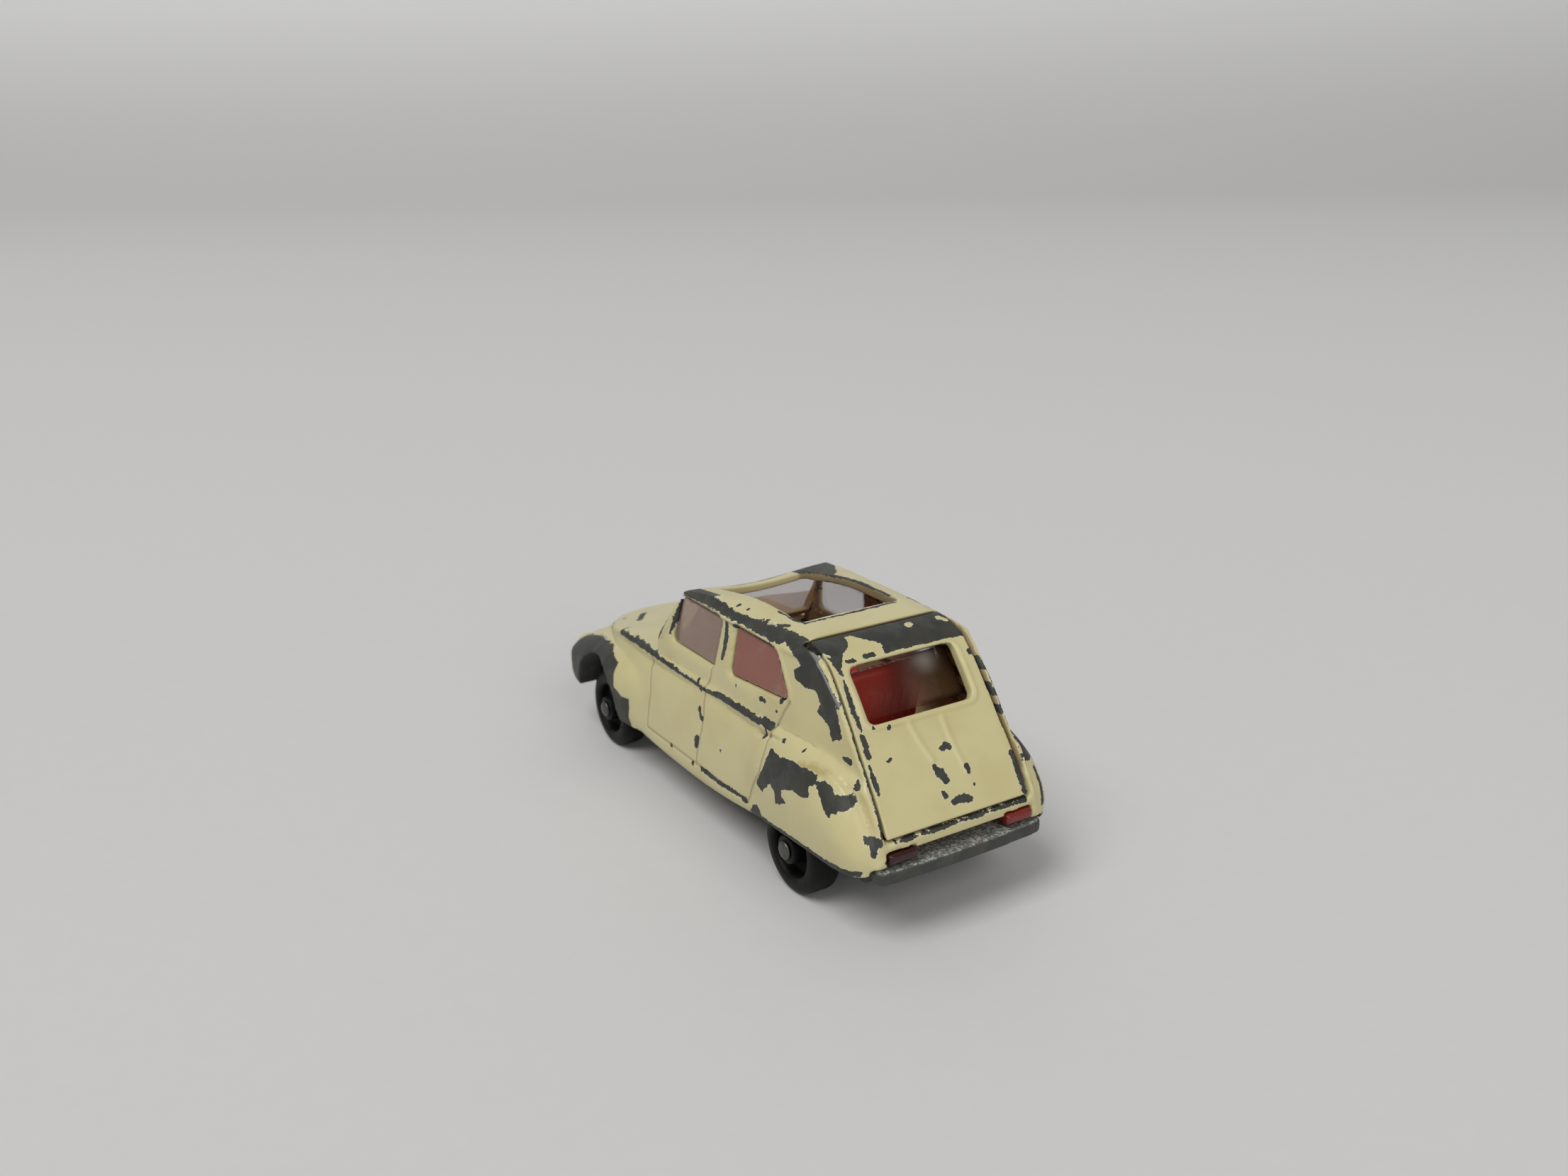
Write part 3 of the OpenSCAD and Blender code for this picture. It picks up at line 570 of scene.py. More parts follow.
# %% Marks in the side view
SIDE_PATCHES = {
    "roof_band": [
        (-5.3, 24.35), (-3.4, 24.5), (1.8, 24.55), (5.9, 24.4), (10.2, 24.7), (15.8, 24.9), (17.6, 24.9),
        (20.0, 24.2), (22.0, 22.3), (23.2, 20.6), (24.4, 18.0), (23.2, 17.3), (22.7, 18.6), (20.8, 19.4),
        (21.2, 20.2), (20.2, 21.4), (19.0, 21.1), (17.2, 21.5), (16.9, 22.0), (17.8, 23.0), (16.6, 23.8),
        (14.6, 24.2), (14.2, 23.95), (1.8, 23.95), (-5.6, 23.7)],
    "fender_large": [
        (15.9, 14.2), (17.9, 14.1), (19.3, 14.4), (21.1, 14.3), (22.6, 14.5), (23.4, 14.4), (23.8, 14.0),
        (23.0, 13.4), (23.5, 12.6), (22.7, 12.2), (21.0, 12.3), (19.1, 11.6), (19.1, 11.0), (20.0, 10.5),
        (18.1, 9.7), (18.0, 10.7), (17.0, 11.3), (15.4, 9.8), (14.2, 10.0), (15.0, 11.4), (15.5, 12.6)],
    "fender_small": [
        (23.6, 14.0), (24.5, 14.3), (25.5, 14.1), (26.3, 13.7), (27.2, 13.8), (27.9, 13.4), (28.0, 12.9),
        (27.2, 12.5), (26.6, 12.4), (26.7, 11.9), (25.6, 12.5), (24.8, 13.2)],
    "rim_chip": [(12.5, 6.0), (13.2, 7.3), (14.0, 7.6), (14.6, 7.2), (14.4, 6.0)],
    "nose": [
        (-29.5, 5.8), (-30.2, 8.6), (-30.7, 10.6), (-29.2, 11.6), (-25.7, 12.5), (-21.0, 12.9),
        (-17.2, 12.2), (-16.7, 9.5), (-15.2, 8.9), (-13.8, 8.9), (-14.0, 5.2)],
}
SIDE_STROKES = {
    "belt": [(-19.4, 15.0, 0.22), (-14.0, 15.4, 0.20), (-7.2, 15.4, 0.15), (-0.9, 15.3, 0.18),
             (2.2, 15.2, 0.22), (4.6, 15.6, 0.28), (9.6, 15.7, 0.27), (11.7, 15.7, 0.25),
             (12.9, 15.6, 0.14)],
    "belt_end": [(13.2, 15.9, 0.30), (14.6, 15.8, 0.30)],
    "belt_drip": [(14.1, 15.4, 0.15), (14.0, 14.7, 0.16)],
    "belt_chip": [(0.3, 15.7, 0.24), (0.7, 14.9, 0.24)],
    "sill": [(2.8, 7.0, 0.20), (6.3, 6.9, 0.18), (8.4, 7.1, 0.22), (10.6, 7.2, 0.19), (11.9, 7.2, 0.26)],
    "sill_chip_1": [(-4.0, 7.0, 0.22)],
    "sill_chip_2": [(0.9, 6.8, 0.22)],
    "rim": [(12.6, 6.3, 0.18), (16.0, 6.5, 0.30), (19.5, 6.8, 0.33), (26.0, 7.1, 0.34),
            (29.2, 7.3, 0.30)],
    "rim_end": [(29.2, 7.4, 0.22), (30.2, 7.6, 0.22)],
    "door_upper": [(1.3, 13.0, 0.24), (2.1, 12.1, 0.15)],
    "door_lower": [(1.5, 9.9, 0.34), (1.4, 9.1, 0.30)],
    "door_speck": [(6.4, 10.4, 0.16)],
    "window_foot_1": [(12.1, 17.8, 0.17), (12.9, 17.8, 0.14)],
    "window_foot_2": [(7.5, 17.6, 0.11)],
    "window_foot_3": [(14.9, 17.5, 0.14)],
    "front_pillar": [(-9.6, 17.4, 0.20), (-7.6, 20.6, 0.21), (-5.9, 23.3, 0.22)],
    "front_window": [(-7.0, 18.7, 0.12), (-6.2, 20.6, 0.13), (-5.4, 22.6, 0.15), (-4.6, 23.3, 0.13),
                     (2.6, 23.3, 0.15), (3.3, 22.6, 0.16), (3.1, 20.9, 0.18), (2.5, 18.9, 0.18)],
    "middle_pillar": [(4.7, 23.2, 0.30), (4.9, 21.8, 0.30), (4.5, 19.6, 0.20)],
    "rear_window": [(6.0, 23.3, 0.14), (13.3, 23.3, 0.18), (14.3, 22.5, 0.21), (15.6, 20.5, 0.21),
                    (16.0, 19.5, 0.24), (15.5, 18.7, 0.20)],
    "pillar_chip_1": [(24.8, 16.2, 0.16), (25.7, 16.2, 0.26)],
    "pillar_chip_2": [(27.3, 14.8, 0.22), (27.5, 14.5, 0.22)],
    "speck_1": [(17.2, 15.4, 0.15)],
    "speck_2": [(20.3, 15.5, 0.10)],
}
# Bare polished zinc along the rear pillar's ridge, where a pale painted highlight goes.
RIDGE_POLISH_HIGHLIGHT = [[(17.0, 24.7, 0.12), (20.0, 24.0, 0.18), (22.0, 22.3, 0.16), (23.6, 20.7, 0.10)]]
STAIN = [[(20.8, 14.5, 0.40), (22.7, 14.8, 0.53), (24.4, 14.8, 0.39)]]
OTHER_SIDE_SHIFT = 1.3
print(len(SIDE_PATCHES), "patches and", len(SIDE_STROKES), "strokes on a side")

# %% Marks from above and from behind
ROOF_PATCHES = [[(-4.9, -1.5), (-5.2, 1.8), (-6.7, 0.8), (-8.4, -2.4), (-9.5, -5.8), (-4.6, -5.8)]]
ROOF_STROKES = [
    [(-5.35, -1.3, 0.26), (-5.5, 2.1, 0.30), (-5.65, 5.4, 0.34), (-5.8, 7.3, 0.30), (-5.85, 9.1, 0.18),
     (-5.95, 11.5, 0.14)],
    [(7.8, 4.6, 0.18)], [(7.7, 6.3, 0.15)], [(7.7, 10.1, 0.10)],
    [(7.6, 11.9, 0.16), (7.1, 13.0, 0.16)], [(7.8, 13.1, 0.08), (7.8, 14.5, 0.08)],
    [(6.0, 9.3, 0.09), (6.0, 12.4, 0.10), (5.7, 13.7, 0.11)],
    [(5.8, 13.8, 0.11), (3.1, 13.9, 0.09), (-1.0, 13.9, 0.13), (-5.2, 13.7, 0.09)],
    [(-7.6, 12.5, 0.20), (-7.9, 14.0, 0.20)], [(-8.0, 15.2, 0.25), (-8.0, 16.4, 0.22)],
    # This stroke darkens the whole strip over the windscreen.
    [(7.5, -4.9, 0.30), (4.0, -5.8, 0.45), (0.0, -6.3, 0.50), (-4.0, -5.8, 0.50)],
]
BONNET_STROKES = [[(3.8, -26.0, 0.30), (5.9, -23.0, 0.34)], [(7.6, -26.6, 0.26)], [(6.0, -27.0, 0.22)]]
TAIL_STROKES = [
    [(9.9, 10.5, 0.30), (9.1, 10.4, 0.30)], [(9.55, 10.3, 0.28), (9.6, 9.9, 0.26), (9.7, 9.3, 0.16)],
    [(8.6, 8.5, 0.17)],
    [(7.4, 9.95, 0.02), (5.8, 9.95, 0.12), (4.6, 9.97, 0.0), (3.0, 9.93, 0.14), (1.4, 9.97, 0.02),
     (-0.3, 9.97, 0.0), (-2.0, 9.93, 0.14), (-3.7, 9.97, 0.02), (-5.5, 9.93, 0.12), (-7.8, 9.95, 0.12)],
    [(7.95, 23.5, 0.08), (8.15, 19.0, 0.12), (8.4, 14.0, 0.10), (8.65, 10.8, 0.14)],
    [(-8.1, 21.6, 0.14), (-8.1, 21.2, 0.26), (-8.1, 20.9, 0.16)],
    [(-8.2, 19.4, 0.14), (-8.2, 18.9, 0.26), (-8.2, 18.6, 0.12)],
    [(-8.4, 17.6, 0.14), (-8.3, 17.2, 0.16)],
    [(-8.6, 24.0, 0.02), (-8.6, 19.3, 0.02), (-8.7, 15.5, 0.02)],
    [(-10.3, 14.5, 0.28)], [(-10.6, 11.6, 0.20), (-10.7, 10.2, 0.22), (-10.3, 8.8, 0.20)],
]
print(len(ROOF_STROKES + BONNET_STROKES), "strokes from above and", len(TAIL_STROKES), "from behind")

# %% [markdown]
# ## The body casting
# Doors don't open on this car: their seams are grooves in the casting, filled with dirt, and a
# raised frame runs over both side windows. Broad flat areas are relaxed hard, so that the facets
# of the solid vanish from the reflections, and the rear pillars are drawn out to a round ridge.
# The roof's front edge bows forward a little in the middle, over the curved windscreen.

# %% Lines and bounds on the body
SEAMS = {
    "front_door": [(-10.1, 16.5), (-10.3, 13.7), (-9.6, 11.0), (-9.8, 7.0)],
    "middle": [(2.4, 18.0), (2.4, 16.8), (1.5, 14.9), (2.2, 12.6), (2.2, 11.1), (1.6, 8.0), (1.6, 7.0)],
    "rear_door": [(16.9, 19.1), (16.0, 17.7), (15.1, 16.0), (14.8, 14.8), (14.9, 13.6), (14.6, 11.3),
                  (13.2, 9.2), (12.2, 7.1)],
    "sill": [(-9.8, 7.0), (12.2, 7.1)],
}
DOOR_FRAME = [(-8.6, 17.9), (-6.9, 20.4), (-5.5, 23.1), (-4.8, 23.65), (13.0, 23.7), (14.2, 23.3),
              (15.3, 21.9), (16.6, 20.1), (16.9, 19.1)]
PILLAR_RIDGE = [(17.0, 24.7), (20.7, 23.8), (22.4, 21.9), (24.2, 20.1), (26.3, 17.3), (28.3, 14.6),
                (30.1, 11.9)]
SIDE_FROM, GLASS_SIDE_FROM, GLASS_FOOT, SEAM_FROM = 8.5, 7.3, 19.0, 8.2
ROOF_FROM, BONNET_TO, TAIL_FROM, TAIL_HALF = 22.5, -12.0, 17.0, 11.5
PILLAR_IN, PILLAR_OUT, PILLAR_FROM, PILLAR_FOOT = 7.6, 9.4, 17.5, 9.5
print(len(SEAMS), "seams, a door frame and a ridge")

# %% Evening out, bowing and wear
CALM, LIVELY, CALM_ROUNDS = 0.012, 0.03, 8
BOW_FORWARD, BOW_DOWN, BOW_HALF = 1.4, 1.1, 8.6
BOW_ALONG, BOW_UP = (-3.5, 4.0), (18.0, 23.5)


def even_out(skin, rounds):
    """Relaxes broad areas hard and leaves edges where they are."""
    lift = np.abs(skin.bulge(CALM_ROUNDS))
    skin.relax(rounds, 1 - ramp(lift, CALM, LIVELY))


def bow_header(skin):
    """Bends the roof's front edge forward and down in the middle."""
    x, y, z = skin.co.T
    middle = np.maximum(1 - (x / BOW_HALF) ** 2, 0) ** 2
    weight = middle * (1 - ramp(y, *BOW_ALONG)) * ramp(z, *BOW_UP)
    skin.co -= weight[:, None] * np.array((0.0, BOW_FORWARD, BOW_DOWN))


def body_wear(skin, normal):
    """How deep each point of the body lies inside a worn mark."""
    x, y, z = skin.co.T
    patches, strokes = list(SIDE_PATCHES.values()), list(SIDE_STROKES.values())
    side, top, back = (skin.co[:, view] for view in (SIDE_VIEW, TOP_VIEW, BACK_VIEW))
    left = (x > SIDE_FROM) | (x > GLASS_SIDE_FROM) & (z > GLASS_FOOT)
    right = (x < -SIDE_FROM) | (x < -GLASS_SIDE_FROM) & (z > GLASS_FOOT)
    upward, backward = normal[:, 2] > 0.2, normal[:, 1] > -0.2
    moved = side - (OTHER_SIDE_SHIFT, 0)
    return np.max((
        worn_depth(side, left, patches, strokes + RIDGE_POLISH_HIGHLIGHT),
        worn_depth(moved, right, patches[1:], strokes),
        worn_depth(top, (z > ROOF_FROM) & upward, ROOF_PATCHES, ROOF_STROKES),
        worn_depth(top, (y < BONNET_TO) & upward, strokes=BONNET_STROKES),
        worn_depth(back, (y > TAIL_FROM) & (np.abs(x) < TAIL_HALF) & backward, strokes=TAIL_STROKES)),
        axis=0)


print("the roof's front edge bows", BOW_FORWARD, "mm forward")

# %% Body with seams and wear
BODY_VOXEL = 0.15
CABIN_UP, CABIN_ALONG = (12.0, 13.0), (-12.0, -10.0)
RIDGE_WIDTH, RIDGE_HEIGHT = 0.40, 0.14
BEAD_WIDTH, BEAD_HEIGHT = 0.28, 0.10
SEAM_WIDTH, SEAM_DEPTH = 0.17, 0.10


def cabin_shade_side(co, normal):
    """1 where the casting faces the cabin, 0 where it faces out. The cabin side is painted brown as
    shade with a red reflection.
    """
    x, y, z = co.T
    inward = np.maximum(-normal[:, 0] * np.sign(x), -normal[:, 2])
    return ramp(inward, 0.25, 0.6) * ramp(z, *CABIN_UP) * ramp(y, *CABIN_ALONG)


def body_casting():
    skin = Skin("body_shell", "body_casting", BODY_VOXEL)
    even_out(skin, 40)
    bow_header(skin)
    skin.relax(2)
    x, y, z = skin.co.T
    across = np.abs(x)
    pillar = (across > PILLAR_IN) & (across < PILLAR_OUT) & (y > PILLAR_FROM) & (z > PILLAR_FOOT)
    skin.relax(12, pillar)
    side = skin.co[:, SIDE_VIEW]
    ridge = np.exp(-(line_distance(side, PILLAR_RIDGE) / RIDGE_WIDTH) ** 2) * pillar
    skin.push(RIDGE_HEIGHT * ridge)
    normal = skin.write()
    outside = (np.abs(x) > SEAM_FROM) & (normal[:, 0] * np.sign(x) > 0.25)
    seam = np.min([line_distance(side, line) for line in SEAMS.values()], axis=0)
    bead = line_distance(side, DOOR_FRAME)
    skin.push(outside * (BEAD_HEIGHT * np.exp(-(bead / BEAD_WIDTH) ** 2)
                         - SEAM_DEPTH * np.exp(-(seam / SEAM_WIDTH) ** 2)))
    skin.carry("seam", np.where(outside, seam, FAR))
    skin.carry("bead", np.where(outside, bead, FAR))
    skin.carry("bare", body_wear(skin, normal))
    skin.carry("polish_highlight", worn_depth(side, x > GLASS_SIDE_FROM, strokes=RIDGE_POLISH_HIGHLIGHT))
    skin.carry("stain", worn_depth(side, x > SIDE_FROM, strokes=STAIN))
    # Where the painted cabin shade goes.
    skin.carry("inside", cabin_shade_side(skin.co, normal))
    skin.carry_relief()
    skin.dress("chassis", PAINT)


body_casting()

# %% [markdown]
# ## The hatch
# The hatch is a casting of its own, hung at the roof. Its window has a raised frame, and two
# shallow ribs run down the panel below it. Almost all paint is gone from the band over the
# window, where fingers lifted it, apart from a few islands of cream. The panel is curved, so its
# marks are drawn on it unrolled: across, and down from the hinge.

# %% Marks on the hatch
HATCH_PROFILE = [(17.75, 24.6), (19.0, 24.4), (21.0, 23.45), (22.8, 21.6), (24.5, 19.4), (30.6, 10.3),
                 (31.2, 9.2)]
HATCH_PATCHES = [
    [(7.7, -0.6), (-7.8, -0.6), (-8.0, 3.9), (-7.0, 3.65), (1.5, 3.5), (1.3, 2.4), (2.3, 1.6),
     (2.7, 1.1), (3.5, 0.3), (4.2, 0.3), (4.4, 1.2), (4.9, 1.9), (6.0, 2.7), (6.8, 4.1), (6.9, 4.9),
     (7.2, 4.5), (7.3, 3.2), (7.7, 1.5)],
    [(7.0, 4.8), (7.0, 6.5), (7.0, 8.2), (7.1, 10.1), (7.3, 9.5), (7.5, 7.7), (7.3, 6.4)],
]
HATCH_STROKES = [
    [(7.3, 10.6, 0.16), (7.3, 11.8, 0.24), (7.3, 12.6, 0.20)],
    [(7.6, 13.5, 0.10), (7.6, 14.8, 0.20), (7.7, 16.2, 0.17)],
    [(3.7, 3.4, 0.20), (2.9, 3.4, 0.15)], [(5.8, 3.5, 0.12), (5.1, 3.5, 0.11)],
    [(4.3, 10.5, 0.17)], [(5.9, 10.1, 0.09)], [(5.6, 13.5, 0.10), (5.2, 13.4, 0.08)],
    [(-0.5, 13.8, 0.24), (-1.0, 13.6, 0.32), (-1.3, 13.9, 0.22)],
    [(0.9, 15.4, 0.24), (0.6, 16.1, 0.42), (0.3, 16.8, 0.34)], [(-2.4, 16.1, 0.18), (-2.4, 16.7, 0.18)],
    [(-2.6, 18.0, 0.09)], [(1.1, 17.7, 0.14), (0.9, 18.2, 0.16)],
    [(0.3, 18.9, 0.22), (-0.6, 18.8, 0.32), (-1.6, 19.0, 0.26)], [(-7.5, 5.5, 0.22)],
    [(-7.85, 16.2, 0.20), (-7.9, 18.0, 0.27), (-7.9, 19.9, 0.24)],
]
CREAM_ISLANDS = [[(-3.0, 0.8, 0.52)], [(-6.7, 0.8, 0.42), (-7.1, 1.4, 0.36)],
                 [(7.6, 2.1, 0.26), (7.3, 2.5, 0.20)]]
HATCH_RIBS = [[(1.9, 10.6), (1.5, 12.7), (0.9, 14.6)], [(-1.8, 10.9), (-1.9, 13.8), (-2.3, 16.6)]]
print(len(HATCH_STROKES), "strokes and", len(HATCH_RIBS), "ribs on the hatch")

# %% Hatch with its frame, ribs and wear
WINDOW_HALF, WINDOW_TOP, WINDOW_FOOT, WINDOW_ROUND = 6.1, 4.25, 9.85, 0.8
FRAME_MIDDLE, FRAME_WIDTH, FRAME_HEIGHT = 0.40, 0.26, 0.11
RIB_WIDTH, RIB_HEIGHT = 0.34, 0.10
HATCH_VOXEL = 0.12
OUTWARD = (0.0, 0.75, 0.65)


def unrolled(co):
    """Places on the hatch as (across, down from the hinge)."""
    profile = np.array(HATCH_PROFILE)
    steps = np.hypot(*np.diff(profile, axis=0).T)
    down = np.concatenate(([0], np.cumsum(steps)))
    return np.stack((co[:, 0], np.interp(co[:, 1], profile[:, 0], down)), 1)


def window_distance(flat):
    """Distance from the hatch window's round-cornered outline."""
    middle, half = (WINDOW_TOP + WINDOW_FOOT) / 2, (WINDOW_FOOT - WINDOW_TOP) / 2
    across = np.abs(flat[:, 0]) - WINDOW_HALF + WINDOW_ROUND
    down = np.abs(flat[:, 1] - middle) - half + WINDOW_ROUND
    outside = np.hypot(np.maximum(across, 0), np.maximum(down, 0))
    return outside + np.minimum(np.maximum(across, down), 0) - WINDOW_ROUND


def hatch_casting():
    skin = Skin("rear_hatch", "hatch_casting", HATCH_VOXEL)
    even_out(skin, 30)
    skin.relax(2)
    normal = skin.write()
    outer = normal @ OUTWARD > 0.3
    flat = unrolled(skin.co)
    everywhere = np.ones(len(flat), bool)
    rib = np.min([line_distance(flat, line) for line in HATCH_RIBS], axis=0) / RIB_WIDTH
    bead = (window_distance(flat) - FRAME_MIDDLE) / FRAME_WIDTH
    skin.push((FRAME_HEIGHT * np.exp(-bead ** 2) + RIB_HEIGHT * np.exp(-rib ** 2)) * outer)
    islands = worn_depth(flat, everywhere, strokes=CREAM_ISLANDS)
    bare = worn_depth(flat, everywhere, HATCH_PATCHES, HATCH_STROKES)
    skin.carry("bare", np.minimum(bare, -islands))
    for name, none in (("seam", FAR), ("bead", FAR), ("polish_highlight", -FAR), ("stain", -FAR), ("inside", 0)):
        skin.carry(name, np.full(len(flat), none))
    skin.carry_relief()
    skin.dress("hatch", PAINT)


hatch_casting()

# %% [markdown]
# ## The base
# The base carries both bumpers. The rear one is a round bar with a rough, sparkling ledge on top,
# where the metal was sheared off. The ledge gets real grain in its points as well as in its
# material, because it catches light at its edge. Its sparkle is painted glints, and its grey is painted
# lighter as light.

# %% Base casting with the bumpers
BASE_VOXEL = 0.16
BAR_FROM, LEDGE_FROM, LEDGE_TOP = 30.6, 28.9, 7.65
GRAIN_SEED, GRAIN_HEIGHT = 11, 0.03


def base_casting():
    skin = Skin("base_plate", "base_casting", BASE_VOXEL)
    skin.relax(3)
    skin.relax(4, skin.co[:, 1] > BAR_FROM)
    normal = skin.write()
    ledge = (ramp(normal[:, 2], 0.75, 0.95) * ramp(skin.co[:, 2], LEDGE_TOP - 0.5, LEDGE_TOP - 0.2)
             * (skin.co[:, 1] > LEDGE_FROM))
    chance = np.random.default_rng(GRAIN_SEED).normal(size=(len(skin.co), 1))
    grain = skin.around(chance)[:, 0]
    skin.push(GRAIN_HEIGHT * grain * ledge)
    skin.carry("ledge", ledge)
    skin.carry_relief()
    skin.dress("chassis", BARE_ZINC)


base_casting()

# %% [markdown]
# ## Interior and windows
# One red moulding makes the floor, the seats, the dashboard and two arms that end as tail lamps.
# The lamps are thick, so they look deeper than the rest; the left one is darker still, which is painted
# shade. Seats get pleats pressed into them. The windows are one clear moulding with softened corners.
# Its haze differs from pane to pane: brown inside the windscreen, painted lighter there as light shining
# through, pink at the sides, and on the hatch pane painted shade on the right and a painted reflection
# near its top.

# %% Red interior
MOULDING_VOXEL = 0.15
PLEAT_PITCH, PLEAT_DEPTH, PLEAT_SHARPNESS = 1.05, 0.09, 16
SEAT_FOOT, SEAT_FRONT, SEAT_BACK = (9.0, 9.6), (-3.2, -2.8), 16.5
# The left lamp is set darker than the right one: painted shade.
LAMP_ARMS, LEFT_LAMP_DEEP_AND_SHADE, RIGHT_DEEP = 27.0, 0.97, 0.70


def interior_moulding():
    skin = Skin("interior_tub", "interior_moulding", MOULDING_VOXEL)
    skin.relax(5)
    normal = skin.write()
    x, y, z = skin.co.T
    seat = ramp(z, *SEAT_FOOT) * ramp(y, *SEAT_FRONT) * (y < SEAT_BACK)
    facing = ramp(np.abs(normal[:, 1]) + normal[:, 2], 0.6, 0.9)
    pleat = np.cos(np.pi * x / PLEAT_PITCH) ** PLEAT_SHARPNESS
    skin.push(-PLEAT_DEPTH * pleat * seat * facing)
    skin.carry("deep", np.where(x > 0, LEFT_LAMP_DEEP_AND_SHADE, RIGHT_DEEP) * (y > LAMP_ARMS))
    skin.dress("chassis", RED)


interior_moulding()

# %% Clear windows
SIDE_PANES, FRONT_PANES, REAR_PANE = (7.0, 7.6), (2.5, 6.0), (17.0, 17.6)
# Where the painted shade and the painted reflection lie on the hatch pane.
SHADE_ACROSS, REFLECTION_UP = (0.2, 4.4), (19.8, 21.4)
REFLECTION_MIDDLE, REFLECTION_WIDTH = -4.0, 1.3
SCREEN_EDGE, SCREEN_INNER_LIT_HAZE, SCREEN_OUTER_HAZE = -5.2, 0.48, 0.30
LEFT_HAZE, RIGHT_HAZE = 0.76, 0.24


def window_moulding():
    skin = Skin("glazing", "window_moulding", MOULDING_VOXEL)
    even_out(skin, 20)
    skin.relax(2)
    bow_header(skin)
    skin.carry("edge", np.maximum(skin.bulge(), 0))
    x, y, z = skin.co.T
    sides = ramp(np.abs(x), *SIDE_PANES)
    screen = y < SCREEN_EDGE
    inner = screen & (skin.write()[:, 1] > 0)
    # The windscreen's inner face gets a thicker, brighter haze than its outer face: partly painted
    # light.
    haze = np.where(screen, np.where(inner, SCREEN_INNER_LIT_HAZE, SCREEN_OUTER_HAZE),
                    np.where(x > 0, LEFT_HAZE, RIGHT_HAZE) * sides)
    skin.carry("milky", haze)
    skin.carry("fore", 1 - ramp(y, *FRONT_PANES))
    skin.carry("screen", inner)
    pane = ramp(y, *REAR_PANE) * (1 - sides)
    # A pale painted reflection near the top of the hatch pane.
    painted_reflection = np.exp(-((x - REFLECTION_MIDDLE) / REFLECTION_WIDTH) ** 2) * ramp(z, *REFLECTION_UP)
    # Painted shade on the right part of the hatch pane.
    skin.carry("painted_shade", pane * ramp(-x, *SHADE_ACROSS))
    skin.carry("painted_reflection", pane * painted_reflection)
    skin.dress("chassis", GLASS)


window_moulding()

# %% [markdown]
# ## Wheels, axles and springs
# A wheel is a turned shape, so its section is drawn once and spun: tyre with round shoulders, deep
# ring recess, and a hub that stands out. An axle is a pin with a domed head. Both take their place
# from the boxes of their solids, so they always sit on the joints.

# %% Turned shapes
TURNS = 96
CORNER_ROUNDS, CORNER_SHARE = 2, 0.2


def round_corners(section):
    """Cuts the corners of a section, so that it turns into smooth curves."""
    line = np.array(section, float)
    for _ in range(CORNER_ROUNDS):
        span = np.roll(line, -1, 0) - line
        cuts = (line + CORNER_SHARE * span, line + (1 - CORNER_SHARE) * span)
        line = np.stack(cuts, 1).reshape(-1, 2)
    return line


def turned(name, section, centre, facing):
    """Spins a closed section of (radius, place along the axle) about the X axis."""
    count = len(section)
    angles = np.arange(TURNS) * 2 * np.pi / TURNS
    ring = np.stack((np.zeros(TURNS), np.cos(angles), np.sin(angles)), 1)
    co = (ring[:, None, :] * section[None, :, :1]).reshape(-1, 3)
    co[:, 0] += np.tile(section[:, 1], TURNS) * facing
    faces = []
    for turn in range(TURNS):
        here, there = turn * count, (turn + 1) % TURNS * count
        for i in range(count):
            k = (i + 1) % count
            quad = (here + i, here + k, there + k, there + i)
            faces.append(quad if facing > 0 else quad[::-1])
    mesh = bpy.data.meshes.new(name)
    mesh.from_pydata((co * MM + np.array(centre)).tolist(), [], faces)
    mesh.validate()
    mesh.polygons.foreach_set("use_smooth", [True] * len(mesh.polygons))
    mesh.update()
    return placed(name, mesh)


print("turned in", TURNS, "steps")

# %% Wheels
TYRE_R, TYRE_W, RIM_R, HUB_R, BORE_R, BOSS = 4.65, 3.1, 2.9, 1.55, 0.6, 0.3
WHEEL_SECTION = [
    (BORE_R, -BOSS), (HUB_R, -BOSS), (HUB_R, 0.0), (TYRE_R - 0.5, 0.0), (TYRE_R - 0.12, 0.18),
    (TYRE_R, 0.5), (TYRE_R, 1.1), (TYRE_R - 0.05, 1.16), (TYRE_R - 0.05, 1.30), (TYRE_R, 1.36),
    (TYRE_R, TYRE_W - 0.75), (TYRE_R - 0.15, TYRE_W - 0.3), (TYRE_R - 0.6, TYRE_W - 0.05),
    (TYRE_R - 1.1, TYRE_W),
    (RIM_R + 0.25, TYRE_W - 0.05), (RIM_R, TYRE_W - 0.3), (RIM_R - 0.15, TYRE_W - 1.5),
    (HUB_R, TYRE_W - 1.6), (HUB_R - 0.1, TYRE_W + 0.25), (HUB_R - 0.3, TYRE_W + 0.35),
    (BORE_R, TYRE_W + 0.35),
]


def wheels():
    section = round_corners(WHEEL_SECTION)
    for name in ("front_left_wheel", "front_right_wheel", "rear_left_wheel", "rear_right_wheel"):
        low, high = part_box(name)
        facing = 1 if "left" in name else -1
        inner = low.x + BOSS * MM if facing > 0 else high.x - BOSS * MM
        middle = (low + high) / 2
        obj = turned(name + "_turned", section, (inner, middle.y, middle.z), facing)
        fit(obj, name, name, BLACK)


wheels()

# %% Axles and springs
PIN_R, HEAD_R, HEAD_T, AXIS_R = 0.55, 0.95, 0.4, 0.001
DOME_END, DOME_STEPS = 1.5, 9
SPRING_VOXEL = 0.12


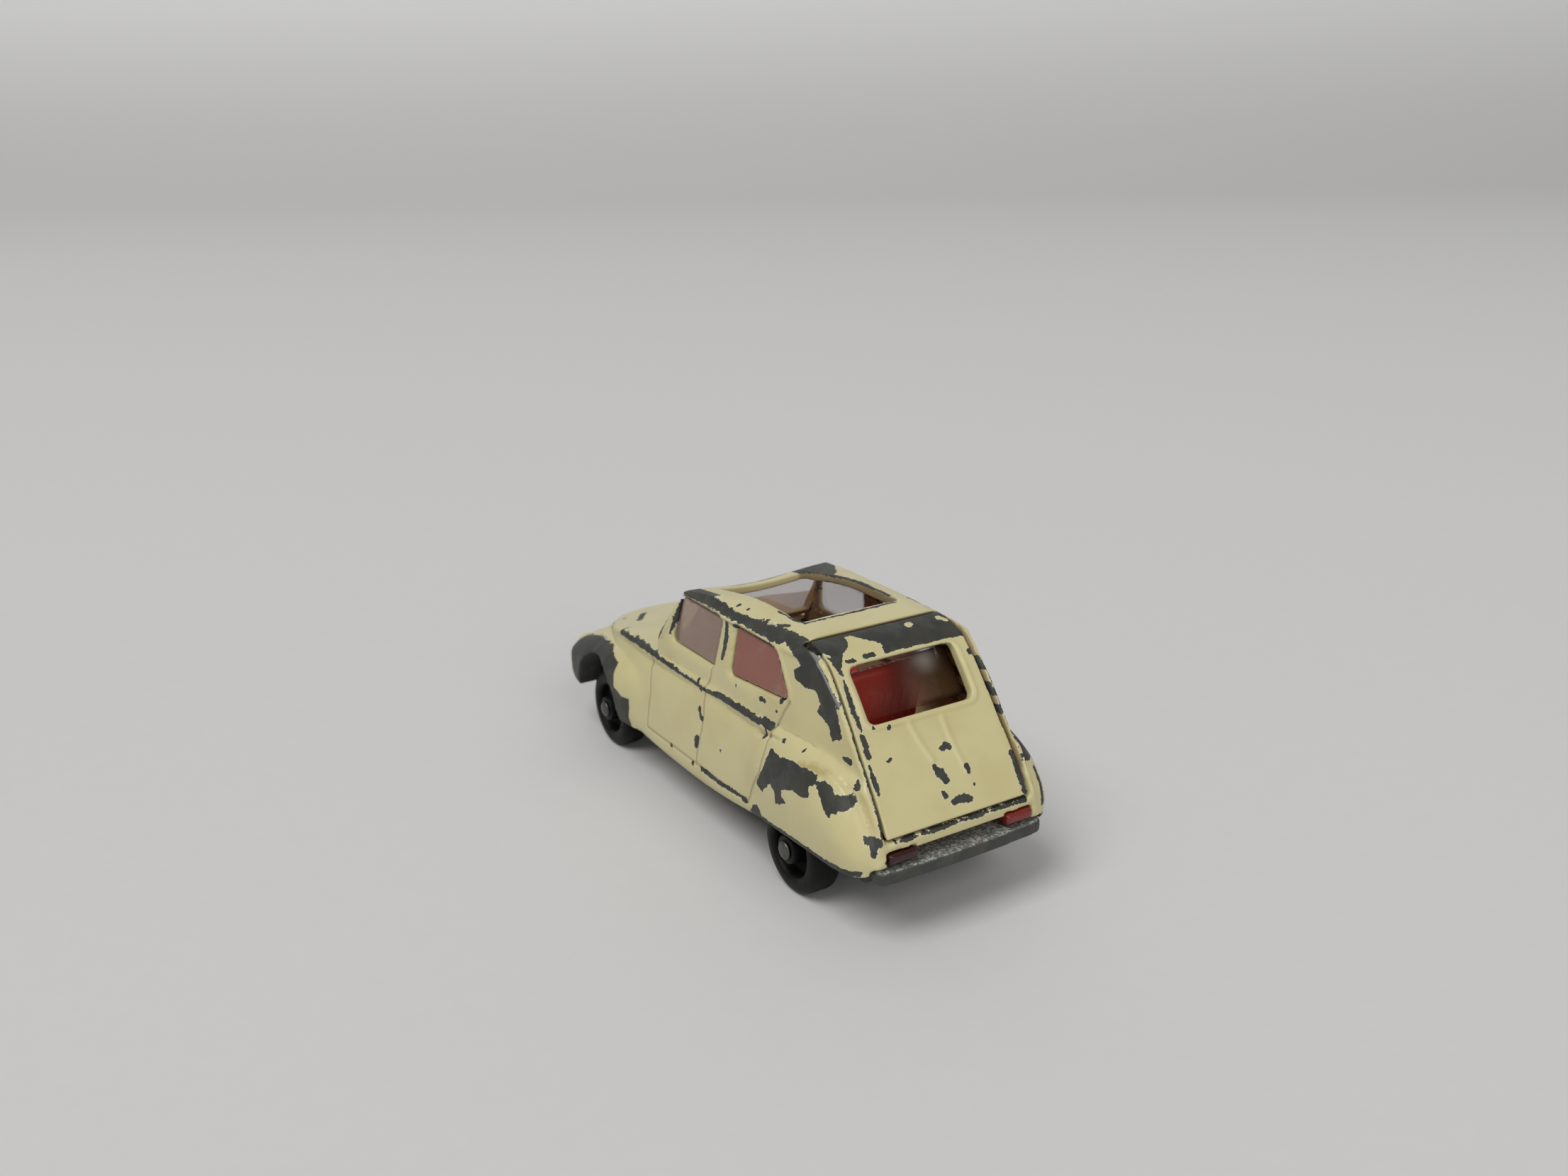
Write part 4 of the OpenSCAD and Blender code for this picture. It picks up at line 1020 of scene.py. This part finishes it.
def axles():
    for name in ("front_axle", "rear_axle"):
        low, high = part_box(name)
        end = (high.x - low.x) / 2 / MM
        neck = end - HEAD_T
        dome = [(HEAD_R * math.cos(a), neck + HEAD_T * math.sin(a))
                for a in np.linspace(0, DOME_END, DOME_STEPS)]
        half = [(PIN_R, 0.0), (PIN_R, neck - 0.15), (PIN_R + 0.1, neck), (HEAD_R - 0.05, neck)] + dome
        section = [(r, -x) for r, x in reversed(half)] + half[1:]
        section = [(AXIS_R, -end)] + section + [(AXIS_R, end)]
        middle = (low + high) / 2
        obj = turned(name + "_pin", np.array(section), (0.0, middle.y, middle.z), 1)
        fit(obj, name, name, STEEL)


def springs():
    for name in ("front_axle_spring", "rear_axle_spring"):
        skin = Skin(name, name + "_leaf", SPRING_VOXEL)
        skin.relax(3)
        skin.dress("chassis", BLACK)


axles()
springs()

# %% [markdown]
# ## Floor and light
# The car stands on a pale table that sweeps up behind it, so that no horizon shows. One large soft
# lamp stands over the car's left side, a weaker one behind it, and an even world fills the rest, so
# that a dark pool lies only under the car. Together they make a plain level: the paint comes out
# about as it is written.

# %% Pale table
FLOOR = tone(0.648, 0.642, 0.636)
FLOOR_MOTTLE = tone(0.628, 0.622, 0.616)
BACKDROP = tone(0.91, 0.905, 0.90)
SWEEP = (0.02, 0.4)
TABLE_HALF, BEND_FROM, BEND_R, BEND_STEPS, WALL_TOP = 3.0, 1.4, 0.9, 17, 2.2


def table():
    finish = Finish("pale_table")
    grain = finish.noise(2.5, 3.0)
    height = finish.add("ShaderNodeSeparateXYZ", None, {0: finish.place}, out="Z")
    colour = finish.mix(finish.mix(FLOOR, FLOOR_MOTTLE, grain), BACKDROP, height.step(*SWEEP))
    material = finish.surface({"Base Color": colour, "Roughness": 0.7,
                               "Normal": finish.bump(finish.noise(0.4, 3.0), 0.01)})
    bend = [(BEND_FROM + BEND_R * math.sin(a), BEND_R - BEND_R * math.cos(a))
            for a in np.linspace(0, math.pi / 2, BEND_STEPS)]
    profile = [(-TABLE_HALF, 0.0)] + bend + [(BEND_FROM + BEND_R, WALL_TOP)]
    turn = Matrix.Rotation(AZIMUTH, 4, "Z")
    verts = [turn @ Vector((x, d, z)) for d, z in profile for x in (-TABLE_HALF, TABLE_HALF)]
    faces = [(2 * i, 2 * i + 1, 2 * i + 3, 2 * i + 2) for i in range(len(profile) - 1)]
    mesh = bpy.data.meshes.new("pale_table")
    mesh.from_pydata([tuple(v) for v in verts], [], faces)
    mesh.polygons.foreach_set("use_smooth", [True] * len(mesh.polygons))
    mesh.materials.append(material)
    placed("pale_table", mesh)
    print("table with", len(faces), "faces")


table()

# %% Lamps and world
WORLD_LEVEL = 0.26
LAMP_SIZE = 2.0
LAMPS = {
    "side_softbox": (0.55, Vector((1.75, 0.35, 3.0))),
    "rear_softbox": (0.31, Vector((0.2, 2.5, 1.6))),
}


def lights():
    for name, (level, place) in LAMPS.items():
        data = bpy.data.lights.new(name, "AREA")
        data.shape = "SQUARE"
        data.size = LAMP_SIZE
        data.energy = level * math.pi ** 2 * place.length_squared
        lamp = placed(name, data)
        lamp.location = place
        lamp.rotation_euler = (-place).to_track_quat("-Z", "Y").to_euler()
    world = bpy.data.worlds.new("even_daylight")
    world.use_nodes = True
    sky = world.node_tree.nodes["Background"]
    sky.inputs["Color"].default_value = tone(1.0, 1.0, 1.0)
    sky.inputs["Strength"].default_value = WORLD_LEVEL
    bpy.context.scene.world = world
    bpy.context.scene.view_settings.view_transform = "Standard"
    print(len(LAMPS), "lamps and a world at", WORLD_LEVEL)


lights()

# %% [markdown]
